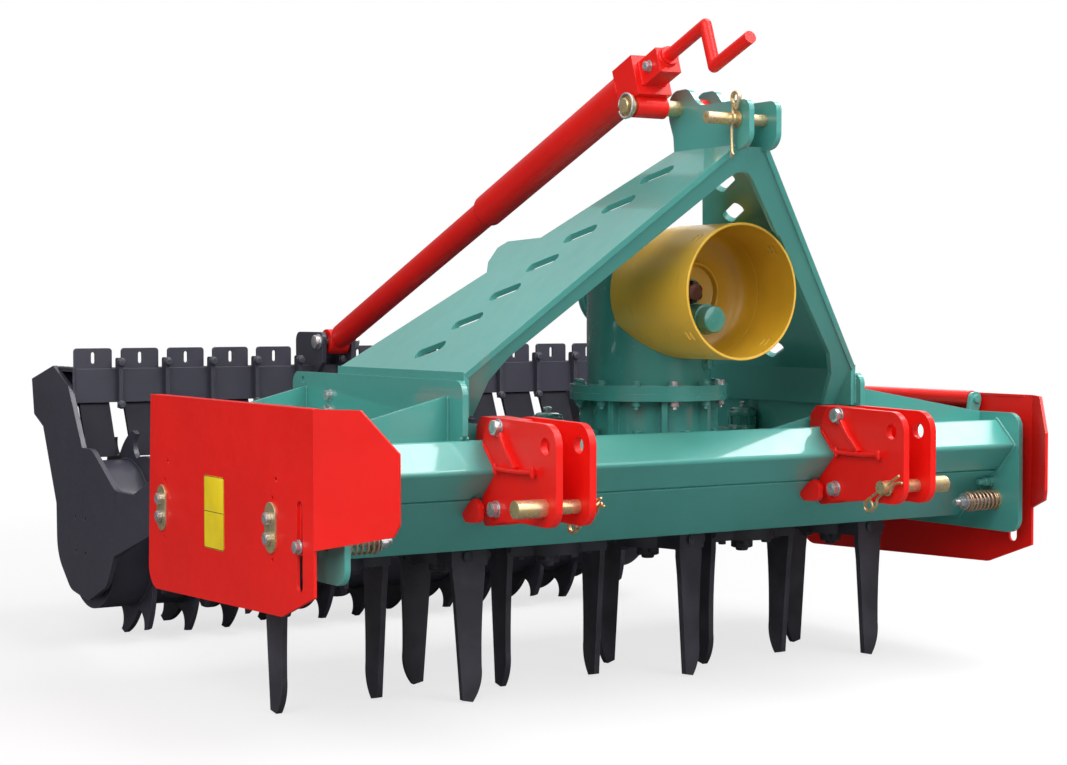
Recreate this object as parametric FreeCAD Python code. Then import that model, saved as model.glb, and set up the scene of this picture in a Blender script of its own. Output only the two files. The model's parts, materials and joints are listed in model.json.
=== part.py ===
"""Power harrow, about 1.4 m wide, with a toothed packer roller.

Millimetres, +X to the right seen from the tractor, +Y to the rear, +Z up.  The origin lies on the floor
under the middle of the machine, which stands on its tines and on its roller.
"""
import FreeCAD, Part
import math
import os

V = FreeCAD.Vector

# ---- driving dimensions -------------------------------------------------------------------------
GAP = 0.3                       # seat between two pieces of different bodies or curved faces

MACHINE_HALF = 700.0            # outer face of the end plates
BEAM_EDGE_Y = -625.0            # front corner of the front beam
BEAM_Z = 415.0                  # middle of the front beam above the floor
BEAM_SIDE = 70.0                # square tube turned on its corner
BEAM_WALL = 6.0
BEAM_ROUND = 7.0

TROUGH_LOW = 141.0              # bottom of the gear trough below the beam's middle
TROUGH_TOP = 14.0               # top of the trough above the beam's middle
LID_T = 8.0
ROTOR_BACK = 355.0              # rotor line behind the beam's front corner

ROTORS = 6
ROTOR_PITCH = 220.0
ROTOR_TURN = (6, 88, 0, 104, 4, 96)     # each rotor's place in its turn, in degrees
TINE_CIRCLE = 98.0              # middle of a tine from its rotor's axis
TINE_T = 11.0
TINE_TOP_W = 62.0
TINE_TIP_W = 24.0
HUB_R = 62.0
HUB_H = 34.0
HUB_DROP = 7.0                  # gap between the trough and the hub

CAP_R = 28.0

END_T = 10.0
END_FRONT = 12.0                # end plate in front of the beam's corner
END_BACK = 752.0
END_TOP = 61.0
END_LOW = 162.0
END_ROUND = 28.0

HITCH_X = -52.0                 # middle of the headstock
BRACKET_HALF = 344.0            # middle of a lower bracket from the headstock's middle
BRACKET_IN = 48.0               # clear width between a bracket's two plates
BRACKET_T = 12.0
BRACKET_FRONT = 177.0           # bracket's front edge ahead of the beam's corner
BRACKET_TOP = 84.0
BRACKET_LOW = 82.0
PIN_Y = 143.0                   # lower link pin ahead of the beam's corner
PIN_Z = 46.0                    # and below the beam's middle
PIN_R = 14.0
PIN_THIN_R = 11.0
PIN_STUB = 52.0
SPARE_Z = 47.0                  # upper hole above the beam's middle
SPARE_R = 13.0

EAR_IN = 44.0                   # clear width between the headstock's ears
EAR_T = 10.0
ARM_T = 10.0
LEG_TOP = 44.0                  # width of the front legs at the ears, measured level
LEG_LOW = 67.0                  # and just above the consoles
LEG_T = 10.0
CROTCH_Z = 470.0                # where the two legs part
SLOTS = 7                       # openings in each web
SLOT_LENGTH = 68.0
SLOT_R = 11.0
SLOT_BACK = -33.0               # middle of the upper opening behind the beam's corner
SLOT_BACK_LOW = 262.0
EAR_BEND_Z = 512.0              # where the ears end and the arms start
FOOT_BEND_Z = 150.0             # where the arms turn down to the consoles
TOP_PIN = (-162.0, 552.0)       # top link pin, from the beam's corner and middle
TOP_PIN_R = 9.5
TOP_PIN_STUB = 60.0
SPINDLE_PIN = (-5.0, 581.0)     # pin that carries the spindle
SPINDLE_PIN_R = 13.0

CONSOLE_HALF = 414.0            # outer face of a console from the headstock's middle
CONSOLE_T = 10.0
CONSOLE_FRONT = 42.0
CONSOLE_BACK = 664.0
CONSOLE_TOP = 141.0
RIB_T = 8.0
RIB_TOP = 116.0
RIB_LOW = 60.0

GEARBOX_X = 0.0
GEARBOX_BACK = 197.0            # gearbox axis behind the beam's front corner
GEARBOX_R = 109.0
FLANGE_R = 139.0
FOOT_R = 123.0
FLANGE_Z = 110.0                # joint of the bolted flanges above the beam's middle
GEARBOX_TOP = 362.0
NECK_R = 104.0
SHAFT_Z = 282.0
SHAFT_R = 17.5
BOSS_R = 26.0                   # round boss on the gearbox under the shaft
BOSS_DROP = 46.0
BOSS_FRONT = 36.0
SHAFT_FRONT = 60.0              # end of the input shaft behind the beam's corner
GUARD_R = 113.0
GUARD_T = 4.0
GUARD_FRONT = -68.0
GUARD_BACK = 151.0
GUARD_SLOTS = (50, 140, 230, 320)       # pairs of clip slots round the guard, in degrees from its top

SIDE_FACE = MACHINE_HALF + 44.0  # outer face of the side plates
SIDE_T = 5.0
SIDE_BEND = 2.0                 # where the wing folds in, behind the beam's corner
SIDE_BACK = 655.0
SIDE_TOP = 105.0
SIDE_LOW = 236.0
SIDE_DROP = 12.0                # the right plate is set lower than the left one
SIDE_HOLES = ((577, -8), (591, -41), (596, -140), (135, -8), (148, -38), (149, -134))
WING_X = MACHINE_HALF - 39.0    # front edge of the wing
WING_Y = -112.0
HINGE_X = MACHINE_HALF + 21.0
HINGE_Z = 82.0
HINGE_TUBE_R = 15.0
HINGE_PIN_R = 8.0
HINGE_FRONT = 142.0
HINGE_BACK = 640.0
BOLT_Y = 50.0
BOLT_Z = -104.0
BOLT_R = 6.0
BOLT_HEAD_R = 13.0
BOLT_END = MACHINE_HALF - 108.0  # inner end of the spring bolt
NUT_X = MACHINE_HALF - 90.0     # outer face of its nut
NUT_T = 12.0
SIDE_SLOT = 10.0                # half the width of the slot for the spring bolt

ROLLER_Y = 1244.0               # roller axle behind the beam's corner
ROLLER_R = 212.0                # tooth tips
DRUM_R = 150.0
RING_T = 10.0
RINGS = 12
RING_PITCH = 102.0
RING_TEETH = 10
ROOT_R = 163.0                  # between two teeth
CHEEK_X = MACHINE_HALF - 32.0   # outer face of the roller frame's cheeks
CHEEK_T = 10.0
BEARING_BOLT_Y = 29.0           # small holes for the bearings' screws
BEARING_BOLT_Z = 35.0
PIVOT_Y = 710.0                 # pivot of the roller frame
PIVOT_Z = -70.0
PIVOT_R = 15.0
BAR_Y0, BAR_Y1 = 1306.0, 1396.0
BAR_Z0, BAR_Z1 = 62.0, 132.0
BAR_WALL = 6.0
TAB_HALF = 40.5
TAB_H = 42.0
BLADE_HALF = 38.0
SPINDLE_X = -145.0
CLEVIS = (1280.0, 184.0)        # lower pin of the spindle
CLEVIS_X = -75.0                # middle of the clevis, nearer the headstock than the spindle's head
CLEVIS_IN = 60.0
CLEVIS_TOP = 205.0
CLEVIS_T = 10.0
CLEVIS_EDGE = CLEVIS_X + CLEVIS_IN / 2 + CLEVIS_T
CLEVIS_PIN_R = 10.0
EYE_HALF = 22.0                 # half the width of the rod's eye
ROD_END = 44.0                  # from the lower pin to the end of the full tube
EYE_PLAY = 1.9                  # the eye is bored wide and off centre: its pin moves in it as the roller lifts
EYE_SHIFT = -0.75
SPINDLE_OFFSET = 50.0           # spindle's axis above its upper pin
SPINDLE_R = 31.0
EYE_R = 27.0                    # outside of the rod's eye
ROD_R = 25.5
CRANK_R = 10.0
HEAD_BACK = 34.0                # where the spindle's head meets its tube
SPINDLE_SPLIT = 540.0           # length of the upper tube

FLOOR = -BEAM_Z


def save(shape, name):
    shape = shape.removeSplitter() if shape.ShapeType != "Compound" else shape
    moved = shape.copy()
    moved.translate(V(0, BEAM_EDGE_Y, BEAM_Z))
    moved.exportStep("parts/" + name + ".step")


def wire(corners, place):
    """Closed outline from (u, v, radius) corners, with tangent arcs at the rounded ones."""
    edges, ends = [], []
    count = len(corners)
    for i, (u, v, r) in enumerate(corners):
        before, after = corners[i - 1], corners[(i + 1) % count]
        p = V(u, v, 0)
        a = (V(before[0], before[1], 0) - p).normalize()
        b = (V(after[0], after[1], 0) - p).normalize()
        if r <= 0:
            ends.append((p, None, p))
            continue
        half = a.getAngle(b) / 2
        cut = r / math.tan(half)
        middle = p + (a + b).normalize() * (r / math.sin(half) - r)
        ends.append((p + a * cut, middle, p + b * cut))
    for i, (start, middle, end) in enumerate(ends):
        if middle is not None:
            edges.append(Part.Arc(place(start), place(middle), place(end)).toShape())
        following = ends[(i + 1) % count][0]
        if (following - end).Length > 1e-6:
            edges.append(Part.LineSegment(place(end), place(following)).toShape())
    return Part.Wire(edges)


def plate_x(corners, x0, x1, holes=()):
    """Plate across X: corners are (y, z, radius), holes are (y, z, radius)."""
    solid = Part.Face(wire(corners, lambda p: V(x0, p.x, p.y))).extrude(V(x1 - x0, 0, 0))
    for y, z, r in holes:
        solid = solid.cut(rod_x(x0 - 1, x1 + 1, y, z, r))
    return solid


def plate_y(corners, y0, y1, holes=()):
    """Plate across Y: corners are (x, z, radius), holes are (x, z, radius)."""
    solid = Part.Face(wire(corners, lambda p: V(p.x, y0, p.y))).extrude(V(0, y1 - y0, 0))
    for x, z, r in holes:
        solid = solid.cut(rod_y(x, y0 - 1, y1 + 1, z, r))
    return solid


def plate_z(corners, z0, z1):
    return Part.Face(wire(corners, lambda p: V(p.x, p.y, z0))).extrude(V(0, 0, z1 - z0))


def block(x0, x1, y0, y1, z0, z1):
    return Part.makeBox(x1 - x0, y1 - y0, z1 - z0, V(x0, y0, z0))


def rod_x(x0, x1, y, z, r):
    return Part.makeCylinder(r, x1 - x0, V(x0, y, z), V(1, 0, 0))


def rod_y(x, y0, y1, z, r):
    return Part.makeCylinder(r, y1 - y0, V(x, y0, z), V(0, 1, 0))


def rod_z(x, y, z0, z1, r):
    return Part.makeCylinder(r, z1 - z0, V(x, y, z0), V(0, 0, 1))


def panel(points, thickness):
    """Flat sheet through the given points, thickened by a vector."""
    return Part.Face(Part.makePolygon(points + points[:1])).extrude(thickness)


def fuse(solids):
    return solids[0].multiFuse(solids[1:]).removeSplitter() if len(solids) > 1 else solids[0]


def mirror_machine(shape):
    return shape.mirror(V(0, 0, 0), V(1, 0, 0))


def mirror_hitch(shape):
    return shape.mirror(V(HITCH_X, 0, 0), V(1, 0, 0))


# ---- front beam, trough and end plates ----------------------------------------------------------
BEAM_HALF_DIAGONAL = BEAM_SIDE / math.sqrt(2) - BEAM_ROUND * (math.sqrt(2) - 1)
BEAM_Y = BEAM_HALF_DIAGONAL
FLANK = BEAM_SIDE / math.sqrt(2)            # sharp corner of the tube from its middle


def front_beam():
    length = 2 * (MACHINE_HALF - END_T)
    start = -length / 2

    def tube(half, radius):
        corners = [(BEAM_Y - half, 0, radius), (BEAM_Y, half, radius),
                   (BEAM_Y + half, 0, radius), (BEAM_Y, -half, radius)]
        return plate_x(corners, start, -start)

    inner = FLANK - BEAM_WALL * math.sqrt(2)
    return tube(FLANK, BEAM_ROUND).cut(tube(inner, max(BEAM_ROUND - BEAM_WALL, 1)))


TROUGH_FRONT = BEAM_Y + 4                   # front panel starts under the beam's lower corner
TROUGH_BACK = 2 * ROTOR_BACK - TROUGH_FRONT
BOTTOM_FRONT = TROUGH_LOW + 3.3
BOTTOM_BACK = 2 * ROTOR_BACK - BOTTOM_FRONT


def gear_trough():
    """Closed housing of the gear train, with sloping front and rear walls and a stepped bearing seat."""
    half = MACHINE_HALF - END_T
    corners = [(BOTTOM_FRONT, -TROUGH_LOW, 8), (BOTTOM_BACK, -TROUGH_LOW, 8),
               (TROUGH_BACK, -TROUGH_LOW + TROUGH_BACK - BOTTOM_BACK, 8), (TROUGH_BACK, TROUGH_TOP, 0),
               (BEAM_Y + FLANK - TROUGH_TOP, TROUGH_TOP, 0), (BEAM_Y + FLANK, 0, 0),
               (BEAM_Y, -FLANK, 0), (TROUGH_FRONT - 2, -FLANK - 2, 0)]
    solid = plate_x(corners, -half, half)
    for x in rotor_places():
        solid = solid.cut(rod_z(x, ROTOR_BACK, -TROUGH_LOW - 1, -TROUGH_LOW + 14, HUB_R - 14 + 2))
    return solid


def rotor_places():
    return [(i - (ROTORS - 1) / 2) * ROTOR_PITCH for i in range(ROTORS)]


def trough_lid():
    half = MACHINE_HALF - END_T
    front = BEAM_Y + FLANK - TROUGH_TOP + 1
    lid = block(-half, half, front, TROUGH_BACK, TROUGH_TOP, TROUGH_TOP + LID_T)
    return lid


LID_TOP = TROUGH_TOP + LID_T


def bearing_caps():
    caps = []
    for x in rotor_places():
        crown = rod_z(x, ROTOR_BACK, LID_TOP, LID_TOP + 46, CAP_R)
        nipple = rod_z(x, ROTOR_BACK, LID_TOP + 46, LID_TOP + 56, 5)
        caps.append(fuse([crown, nipple]))
    return Part.makeCompound(caps)


def end_plate(side):
    corners = [(-END_FRONT, -END_LOW, END_ROUND), (END_BACK, -END_LOW, END_ROUND),
               (END_BACK, END_TOP, END_ROUND), (-END_FRONT, END_TOP, END_ROUND)]
    holes = [(BOLT_Y, BOLT_Z, BOLT_R + 3)]
    plate = plate_x(corners, MACHINE_HALF - END_T, MACHINE_HALF, holes)
    pivot = rod_x(CHEEK_X - CHEEK_T - 6, MACHINE_HALF - END_T, PIVOT_Y, PIVOT_Z, PIVOT_R - GAP)
    lugs = []
    for y in (HINGE_FRONT - 12, HINGE_BACK + 4):
        outline = [(MACHINE_HALF, END_TOP - 50, 0), (MACHINE_HALF + 12, END_TOP - 40, 0),
                   (HINGE_X + 12.5, HINGE_Z - 6, 6), (HINGE_X + 12.5, HINGE_Z + 13, 12),
                   (HINGE_X - 13, HINGE_Z + 13, 12), (MACHINE_HALF, END_TOP - 10, 0)]
        lugs.append(plate_y(outline, y, y + 8))
    pin = rod_y(HINGE_X, HINGE_FRONT - 16, HINGE_BACK + 16, HINGE_Z, HINGE_PIN_R - GAP)
    solid = fuse([plate, pivot, pin] + lugs)
    return solid if side > 0 else mirror_machine(solid)


# ---- headstock ----------------------------------------------------------------------------------
def console(side):
    """Upright plate on beam and trough lid that carries one foot of the headstock."""
    slope_end = BEAM_Y + FLANK - LID_TOP
    corners = [(CONSOLE_FRONT, BEAM_Y + FLANK - CONSOLE_FRONT, 0), (slope_end, LID_TOP, 0),
               (CONSOLE_BACK - 10, LID_TOP, 0), (CONSOLE_BACK, LID_TOP + 30, 10),
               (CONSOLE_BACK, CONSOLE_TOP, 22), (CONSOLE_FRONT, CONSOLE_TOP, 22)]
    x0 = HITCH_X + CONSOLE_HALF - CONSOLE_T
    holes = [(CONSOLE_BACK - 42, CONSOLE_TOP - 14, 6)]
    solid = plate_x(corners, x0, x0 + CONSOLE_T, holes)
    solid = solid if side > 0 else mirror_hitch(solid)
    for x in rotor_places():
        solid = solid.cut(rod_z(x, ROTOR_BACK, LID_TOP - 1, LID_TOP + 60, CAP_R + 2))
    return solid


def console_ribs(side):
    """Sloping gussets that brace a console to the end plate and to the trough."""
    ribs = []
    face = HITCH_X + side * CONSOLE_HALF
    inner = face - side * CONSOLE_T
    wall = side * (MACHINE_HALF - END_T)
    for y in (88.0, 604.0):
        low = LID_TOP
        outline = [(face, low, 0), (wall, low, 0), (wall, RIB_LOW, 0), (face, RIB_TOP, 0)]
        ribs.append(plate_y(outline, y, y + RIB_T))
        reach = inner - side * 200
        outline = [(inner - side * ARM_T, low, 0), (reach, low, 0), (reach, low + 12, 0),
                   (inner - side * ARM_T, RIB_TOP - 40, 0)]
        ribs.append(plate_y(outline, y, y + RIB_T))
    return Part.makeCompound(ribs)


EAR = EAR_IN / 2                            # inner face of the right ear from the headstock's middle
FOOT = CONSOLE_HALF - CONSOLE_T             # outer face of the right foot
ARM_TOP = V(HITCH_X + EAR + EAR_T, -160, EAR_BEND_Z)
ARM_LOW = V(HITCH_X + FOOT, 56, FOOT_BEND_Z)
WEB_BACK_TOP = 6.0
WEB_BACK_LOW = 500.0


def ear_outline():
    """Lobe round the spindle's pin, a hollow, and a square front round the top link pin."""
    y1, z1 = TOP_PIN
    y2, z2 = SPINDLE_PIN
    return [(ARM_TOP.y, EAR_BEND_Z - 8, 0), (y1 - 31, EAR_BEND_Z - 2, 26), (y1 - 31, z1 + 30, 16),
            (y2 - 55, z1 + 30, 34), (y2 - 26, z2 + 31, 20), (y2 + 30, z2 + 30, 27),
            (y2 + 26, z2 - 16, 30), (y2 + 14, z2 - 45, 10), (WEB_BACK_TOP, EAR_BEND_Z - 8, 0)]


def on_web(share, y):
    """Point on the outer face of the right web, a share of the way down its slope."""
    return V(ARM_TOP.x + share * (ARM_LOW.x - ARM_TOP.x), y, EAR_BEND_Z + share * (FOOT_BEND_Z - EAR_BEND_Z))


def front_leg():
    """Flat leg of the headstock's front, in the leaning plane through both fold lines."""
    slope = V(ARM_LOW.x - ARM_TOP.x, ARM_LOW.y - ARM_TOP.y, FOOT_BEND_Z - EAR_BEND_Z)
    lean = slope.y / slope.z

    def at(x, z):
        return V(x, ARM_TOP.y + (z - EAR_BEND_Z) * lean, z)

    low = FOOT_BEND_Z + 16
    points = [at(HITCH_X, EAR_BEND_Z - 2), at(ARM_TOP.x - 1, EAR_BEND_Z - 2), at(ARM_LOW.x, FOOT_BEND_Z),
              at(ARM_LOW.x, LID_TOP + 60), at(ARM_LOW.x - ARM_T - 30, LID_TOP + 60),
              at(ARM_LOW.x - ARM_T - 40, FOOT_BEND_Z - 10), at(ARM_LOW.x - LEG_LOW - 6, low + 10),
              at(ARM_TOP.x + 10 - LEG_TOP + 28, CROTCH_Z - 10), at(HITCH_X + 12, CROTCH_Z), at(HITCH_X, CROTCH_Z + 2)]
    return panel(points, V(0, LEG_T, 0))


def headstock_arm(side):
    """Bent plate: upright ear, sloping web with slots and a lug, upright foot, and a flat front leg."""
    ear = HITCH_X + EAR
    foot = ARM_LOW.x - ARM_T
    slope = (on_web(1, 0) - on_web(0, 0)).normalize()
    inward = V(slope.z, 0, -slope.x)
    web = panel([ARM_TOP, on_web(0, WEB_BACK_TOP), on_web(1, WEB_BACK_LOW), ARM_LOW], inward * ARM_T)
    lug = panel([on_web(0.38, 190), on_web(0.39, 296), on_web(0.42, 312), on_web(0.49, 300), on_web(0.55, 268)],
                inward * ARM_T)
    y1, z1 = TOP_PIN
    y2, z2 = SPINDLE_PIN
    ear_plate = plate_x(ear_outline(), ear, ear + EAR_T, [(y1, z1, TOP_PIN_R), (y2, z2, SPINDLE_PIN_R)])
    foot_plate = plate_x([(ARM_LOW.y, FOOT_BEND_Z + 4, 0), (WEB_BACK_LOW, FOOT_BEND_Z + 4, 0),
                          (WEB_BACK_LOW, LID_TOP + 60, 12), (ARM_LOW.y, LID_TOP + 60, 0)], foot, foot + ARM_T)
    solid = fuse([web, lug, ear_plate, foot_plate, front_leg()])
    for k in range(SLOTS):
        solid = solid.cut(web_slot(0.11 + 0.79 * k / (SLOTS - 1), inward))
    solid = solid if side > 0 else mirror_hitch(solid)
    return solid.cut(rod_y(0, GUARD_FRONT - 10, GUARD_BACK, SHAFT_Z, GUARD_R + 3))


def web_slot(share, inward):
    """Slanted obround opening through the web."""
    middle = SLOT_BACK + share * (SLOT_BACK_LOW - SLOT_BACK)
    half = SLOT_LENGTH / 2 - SLOT_R
    ends = [on_web(share - half / 1200, middle - half), on_web(share + half / 1200, middle + half)]
    return fuse([Part.makeCylinder(SLOT_R, 3 * ARM_T, p - inward * ARM_T, inward) for p in ends]
                + [bar_between(ends[0] - inward * ARM_T, ends[1] - inward * ARM_T, inward * (3 * ARM_T), SLOT_R)])


def bar_between(a, b, through, half):
    """Block of a given half width between two points, pushed along a vector."""
    across = (b - a).cross(through).normalize() * half
    return panel([a + across, b + across, b - across, a - across], through)


def top_link_pin():
    y, z = TOP_PIN
    half = EAR + EAR_T
    body = rod_x(HITCH_X - half - TOP_PIN_STUB, HITCH_X + half + 8, y, z, TOP_PIN_R)
    head = rod_x(HITCH_X + half, HITCH_X + half + 8, y, z, TOP_PIN_R + 6)
    return fuse([body, head])


def ear_spacer():
    """Tube round the spindle's pin between the ears."""
    y, z = SPINDLE_PIN
    tube = rod_x(HITCH_X - EAR, HITCH_X + EAR, y, z, SPINDLE_PIN_R + 5)
    return tube.cut(rod_x(HITCH_X - EAR - 1, HITCH_X + EAR + 1, y, z, SPINDLE_PIN_R))


def spindle_pin():
    y, z = SPINDLE_PIN
    right = HITCH_X + EAR + EAR_T + 6
    return fuse([rod_x(SPINDLE_X - 48, right, y, z, SPINDLE_PIN_R),
                 rod_x(right - 6, right, y, z, SPINDLE_PIN_R + 7)])


# ---- lower hitch brackets -----------------------------------------------------------------------
def bracket_x(side):
    middle = HITCH_X + side * BRACKET_HALF
    return middle - BRACKET_IN / 2 - BRACKET_T, middle + BRACKET_IN / 2


def bracket_outline():
    """Rounded front, V notch on the beam's front corner and a lobe above and below it."""
    return [(-BRACKET_FRONT, -BRACKET_LOW + 6, 30), (-BRACKET_FRONT, BRACKET_TOP - 4, 34),
            (20, BRACKET_TOP, 26), (FLANK * 0.82, FLANK * 0.82 + GAP + 3, 10), (-3, 0, 0),
            (FLANK * 0.9, -FLANK * 0.9 - GAP - 3, 10), (10, -BRACKET_LOW, 20), (-60, -BRACKET_LOW + 8, 20)]


def hitch_bracket(side):
    holes = [(-PIN_Y, -PIN_Z, PIN_THIN_R), (-PIN_Y - 3, SPARE_Z, SPARE_R),
             (-11, 69, 8), (-4, -59, 8)]
    plates = [plate_x(bracket_outline(), x, x + BRACKET_T, holes) for x in bracket_x(side)]
    tie = block(bracket_x(side)[0] + BRACKET_T, bracket_x(side)[1], -46, -34, -40, 40)
    return fuse(plates + [tie])


def bracket_clamps(side):
    """Blocks between the plates above and below the beam, and a tab on the trough beside the left plate."""
    left, right = bracket_x(side)
    x0, x1 = left + BRACKET_T + 2, right - 2
    b = BEAM_Y + FLANK
    upper = [(-24, 80, 12), (-24, 40, 8), (10, 14, 0), (BEAM_Y, FLANK + 0.8, 0),
             (82, b - 82 + 0.5, 0), (82, 66, 0), (66, 83, 6)]
    lower = [(-24, -38, 8), (14, -18, 0), (BEAM_Y, -FLANK - 1, 0), (70, -FLANK - 24, 6),
             (54, -92, 12), (-16, -82, 14)]
    tab = [(16, -54, 10), (34, -44, 4), (BEAM_Y + 1, -FLANK - 2.4, 0), (TROUGH_FRONT + 11, -FLANK - 15.5, 0),
           (TROUGH_FRONT + 19, -FLANK - 23, 4), (60, -84, 12), (18, -82, 14)]
    return Part.makeCompound([plate_x(upper, x0, x1, [(-11, 69, 8)]), plate_x(lower, x0, x1, [(-4, -59, 8)]),
                              plate_x(tab, left - 20, left - 10)])


def lower_link_pin(side):
    """Stepped pin: thick stub outside, thin shank through both plates."""
    x0, x1 = bracket_x(side)
    y, z = -PIN_Y, -PIN_Z
    if side > 0:
        out, inner = x1 + BRACKET_T, x0 - 22
        return fuse([rod_x(out, out + PIN_STUB, y, z, PIN_R), rod_x(inner, out, y, z, PIN_THIN_R)])
    out, inner = x0, x1 + BRACKET_T + 22
    return fuse([rod_x(out - PIN_STUB, out, y, z, PIN_R), rod_x(out, inner, y, z, PIN_THIN_R)])


# ---- gearbox, shaft and guard -------------------------------------------------------------------
def gearbox_base():
    low = rod_z(GEARBOX_X, GEARBOX_BACK, LID_TOP, LID_TOP + 16, FOOT_R)
    neck = rod_z(GEARBOX_X, GEARBOX_BACK, LID_TOP, FLANGE_Z - 13, NECK_R)
    ribs = []
    for k in range(8):
        rib = block(GEARBOX_X + NECK_R - 4, GEARBOX_X + FOOT_R, GEARBOX_BACK - 5, GEARBOX_BACK + 5,
                    LID_TOP, FLANGE_Z - 13)
        rib.rotate(V(GEARBOX_X, GEARBOX_BACK, 0), V(0, 0, 1), 22.5 + 45 * k)
        ribs.append(rib)
    flange = rod_z(GEARBOX_X, GEARBOX_BACK, FLANGE_Z - 13, FLANGE_Z, FLANGE_R)
    return fuse([low, neck, flange] + ribs)


def gearbox_case():
    flange = rod_z(GEARBOX_X, GEARBOX_BACK, FLANGE_Z, FLANGE_Z + 13, FLANGE_R)
    case = rod_z(GEARBOX_X, GEARBOX_BACK, FLANGE_Z, GEARBOX_TOP - 17, GEARBOX_R)
    top = rod_z(GEARBOX_X, GEARBOX_BACK, GEARBOX_TOP - 17, GEARBOX_TOP, GEARBOX_R - 29)
    nose = rod_y(GEARBOX_X, GEARBOX_BACK - GEARBOX_R - 14, GEARBOX_BACK, SHAFT_Z, 52)
    boss = rod_y(GEARBOX_X + 6, BOSS_FRONT, GEARBOX_BACK, SHAFT_Z - BOSS_DROP, BOSS_R)
    rear = rod_y(GEARBOX_X, GEARBOX_BACK, GEARBOX_BACK + GEARBOX_R + 24, SHAFT_Z, 62)
    bore = rod_y(GEARBOX_X, 0, GEARBOX_BACK - 40, SHAFT_Z, SHAFT_R + 2 + GAP)
    return fuse([flange, case, top, nose, boss, rear]).cut(bore)


def input_shaft():
    return fuse([rod_y(GEARBOX_X, SHAFT_FRONT + 36, GEARBOX_BACK - 41, SHAFT_Z, SHAFT_R + 2),
                 rod_y(GEARBOX_X, SHAFT_FRONT, SHAFT_FRONT + 36, SHAFT_Z, SHAFT_R)])


def pto_guard():
    tube = rod_y(GEARBOX_X, GUARD_FRONT, GUARD_BACK, SHAFT_Z, GUARD_R)
    tube = tube.cut(rod_y(GEARBOX_X, GUARD_FRONT - 1, GUARD_BACK + 1, SHAFT_Z, GUARD_R - GUARD_T))
    for turn in GUARD_SLOTS:
        for y in (GUARD_FRONT + 18, GUARD_FRONT + 30):
            slot = block(GEARBOX_X - 9, GEARBOX_X + 9, y, y + 5, SHAFT_Z + GUARD_R - 20, SHAFT_Z + GUARD_R + 20)
            slot.rotate(V(GEARBOX_X, 0, SHAFT_Z), V(0, 1, 0), turn)
            tube = tube.cut(slot)
    return tube.cut(rod_z(GEARBOX_X, GEARBOX_BACK, 0, 600, GEARBOX_R + GAP))


# ---- rotors -------------------------------------------------------------------------------------
HUB_TOP = -TROUGH_LOW - HUB_DROP
HUB_LOW = HUB_TOP - HUB_H


def rotor_hub(x):
    neck = rod_z(x, ROTOR_BACK, HUB_TOP, -TROUGH_LOW + 14 - GAP, HUB_R - 14)
    plate = rod_z(x, ROTOR_BACK, HUB_LOW, HUB_TOP, HUB_R)
    arms = block(x - TINE_CIRCLE - 8, x + TINE_CIRCLE + 8, ROTOR_BACK - 34, ROTOR_BACK + 34, HUB_LOW, HUB_TOP)
    hub = fuse([neck, plate, arms])
    for side in (-1, 1):
        cx = x + side * TINE_CIRCLE
        slot = block(cx - TINE_T / 2, cx + TINE_T / 2, ROTOR_BACK - TINE_TOP_W / 2, ROTOR_BACK + TINE_TOP_W / 2,
                     HUB_LOW - 1, HUB_LOW + 22)
        hub = hub.cut(slot)
    return hub


def tine_pair(x):
    """Two knife tines: wide shoulders, a straight trailing edge and a leading edge curved to the tip."""
    tines = []
    top = HUB_LOW + 22
    for side in (-1, 1):
        cx = x + side * TINE_CIRCLE

        def at(forward, z):
            return V(cx - TINE_T / 2, ROTOR_BACK + side * forward, z)

        half, tip = TINE_TOP_W / 2, TINE_TIP_W
        trail = tip * 0.3
        edges = [Part.LineSegment(at(-half, top), at(half, top)).toShape(),
                 Part.LineSegment(at(half, top), at(half, HUB_LOW - 14)).toShape(),
                 Part.Arc(at(half, HUB_LOW - 14), at(half * 0.82, HUB_LOW - 90), at(trail + tip * 0.72, FLOOR + 60)).toShape(),
                 Part.Arc(at(trail + tip * 0.72, FLOOR + 60), at(trail + tip * 0.5, FLOOR + 20), at(trail, FLOOR)).toShape(),
                 Part.LineSegment(at(trail, FLOOR), at(trail - tip * 0.8, FLOOR + 4)).toShape(),
                 Part.LineSegment(at(trail - tip * 0.8, FLOOR + 4), at(-half * 0.86, HUB_LOW - 46)).toShape(),
                 Part.LineSegment(at(-half * 0.86, HUB_LOW - 46), at(-half, HUB_LOW - 14)).toShape(),
                 Part.LineSegment(at(-half, HUB_LOW - 14), at(-half, top)).toShape()]
        tines.append(Part.Face(Part.Wire(edges)).extrude(V(TINE_T, 0, 0)))
    return Part.makeCompound(tines)


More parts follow.
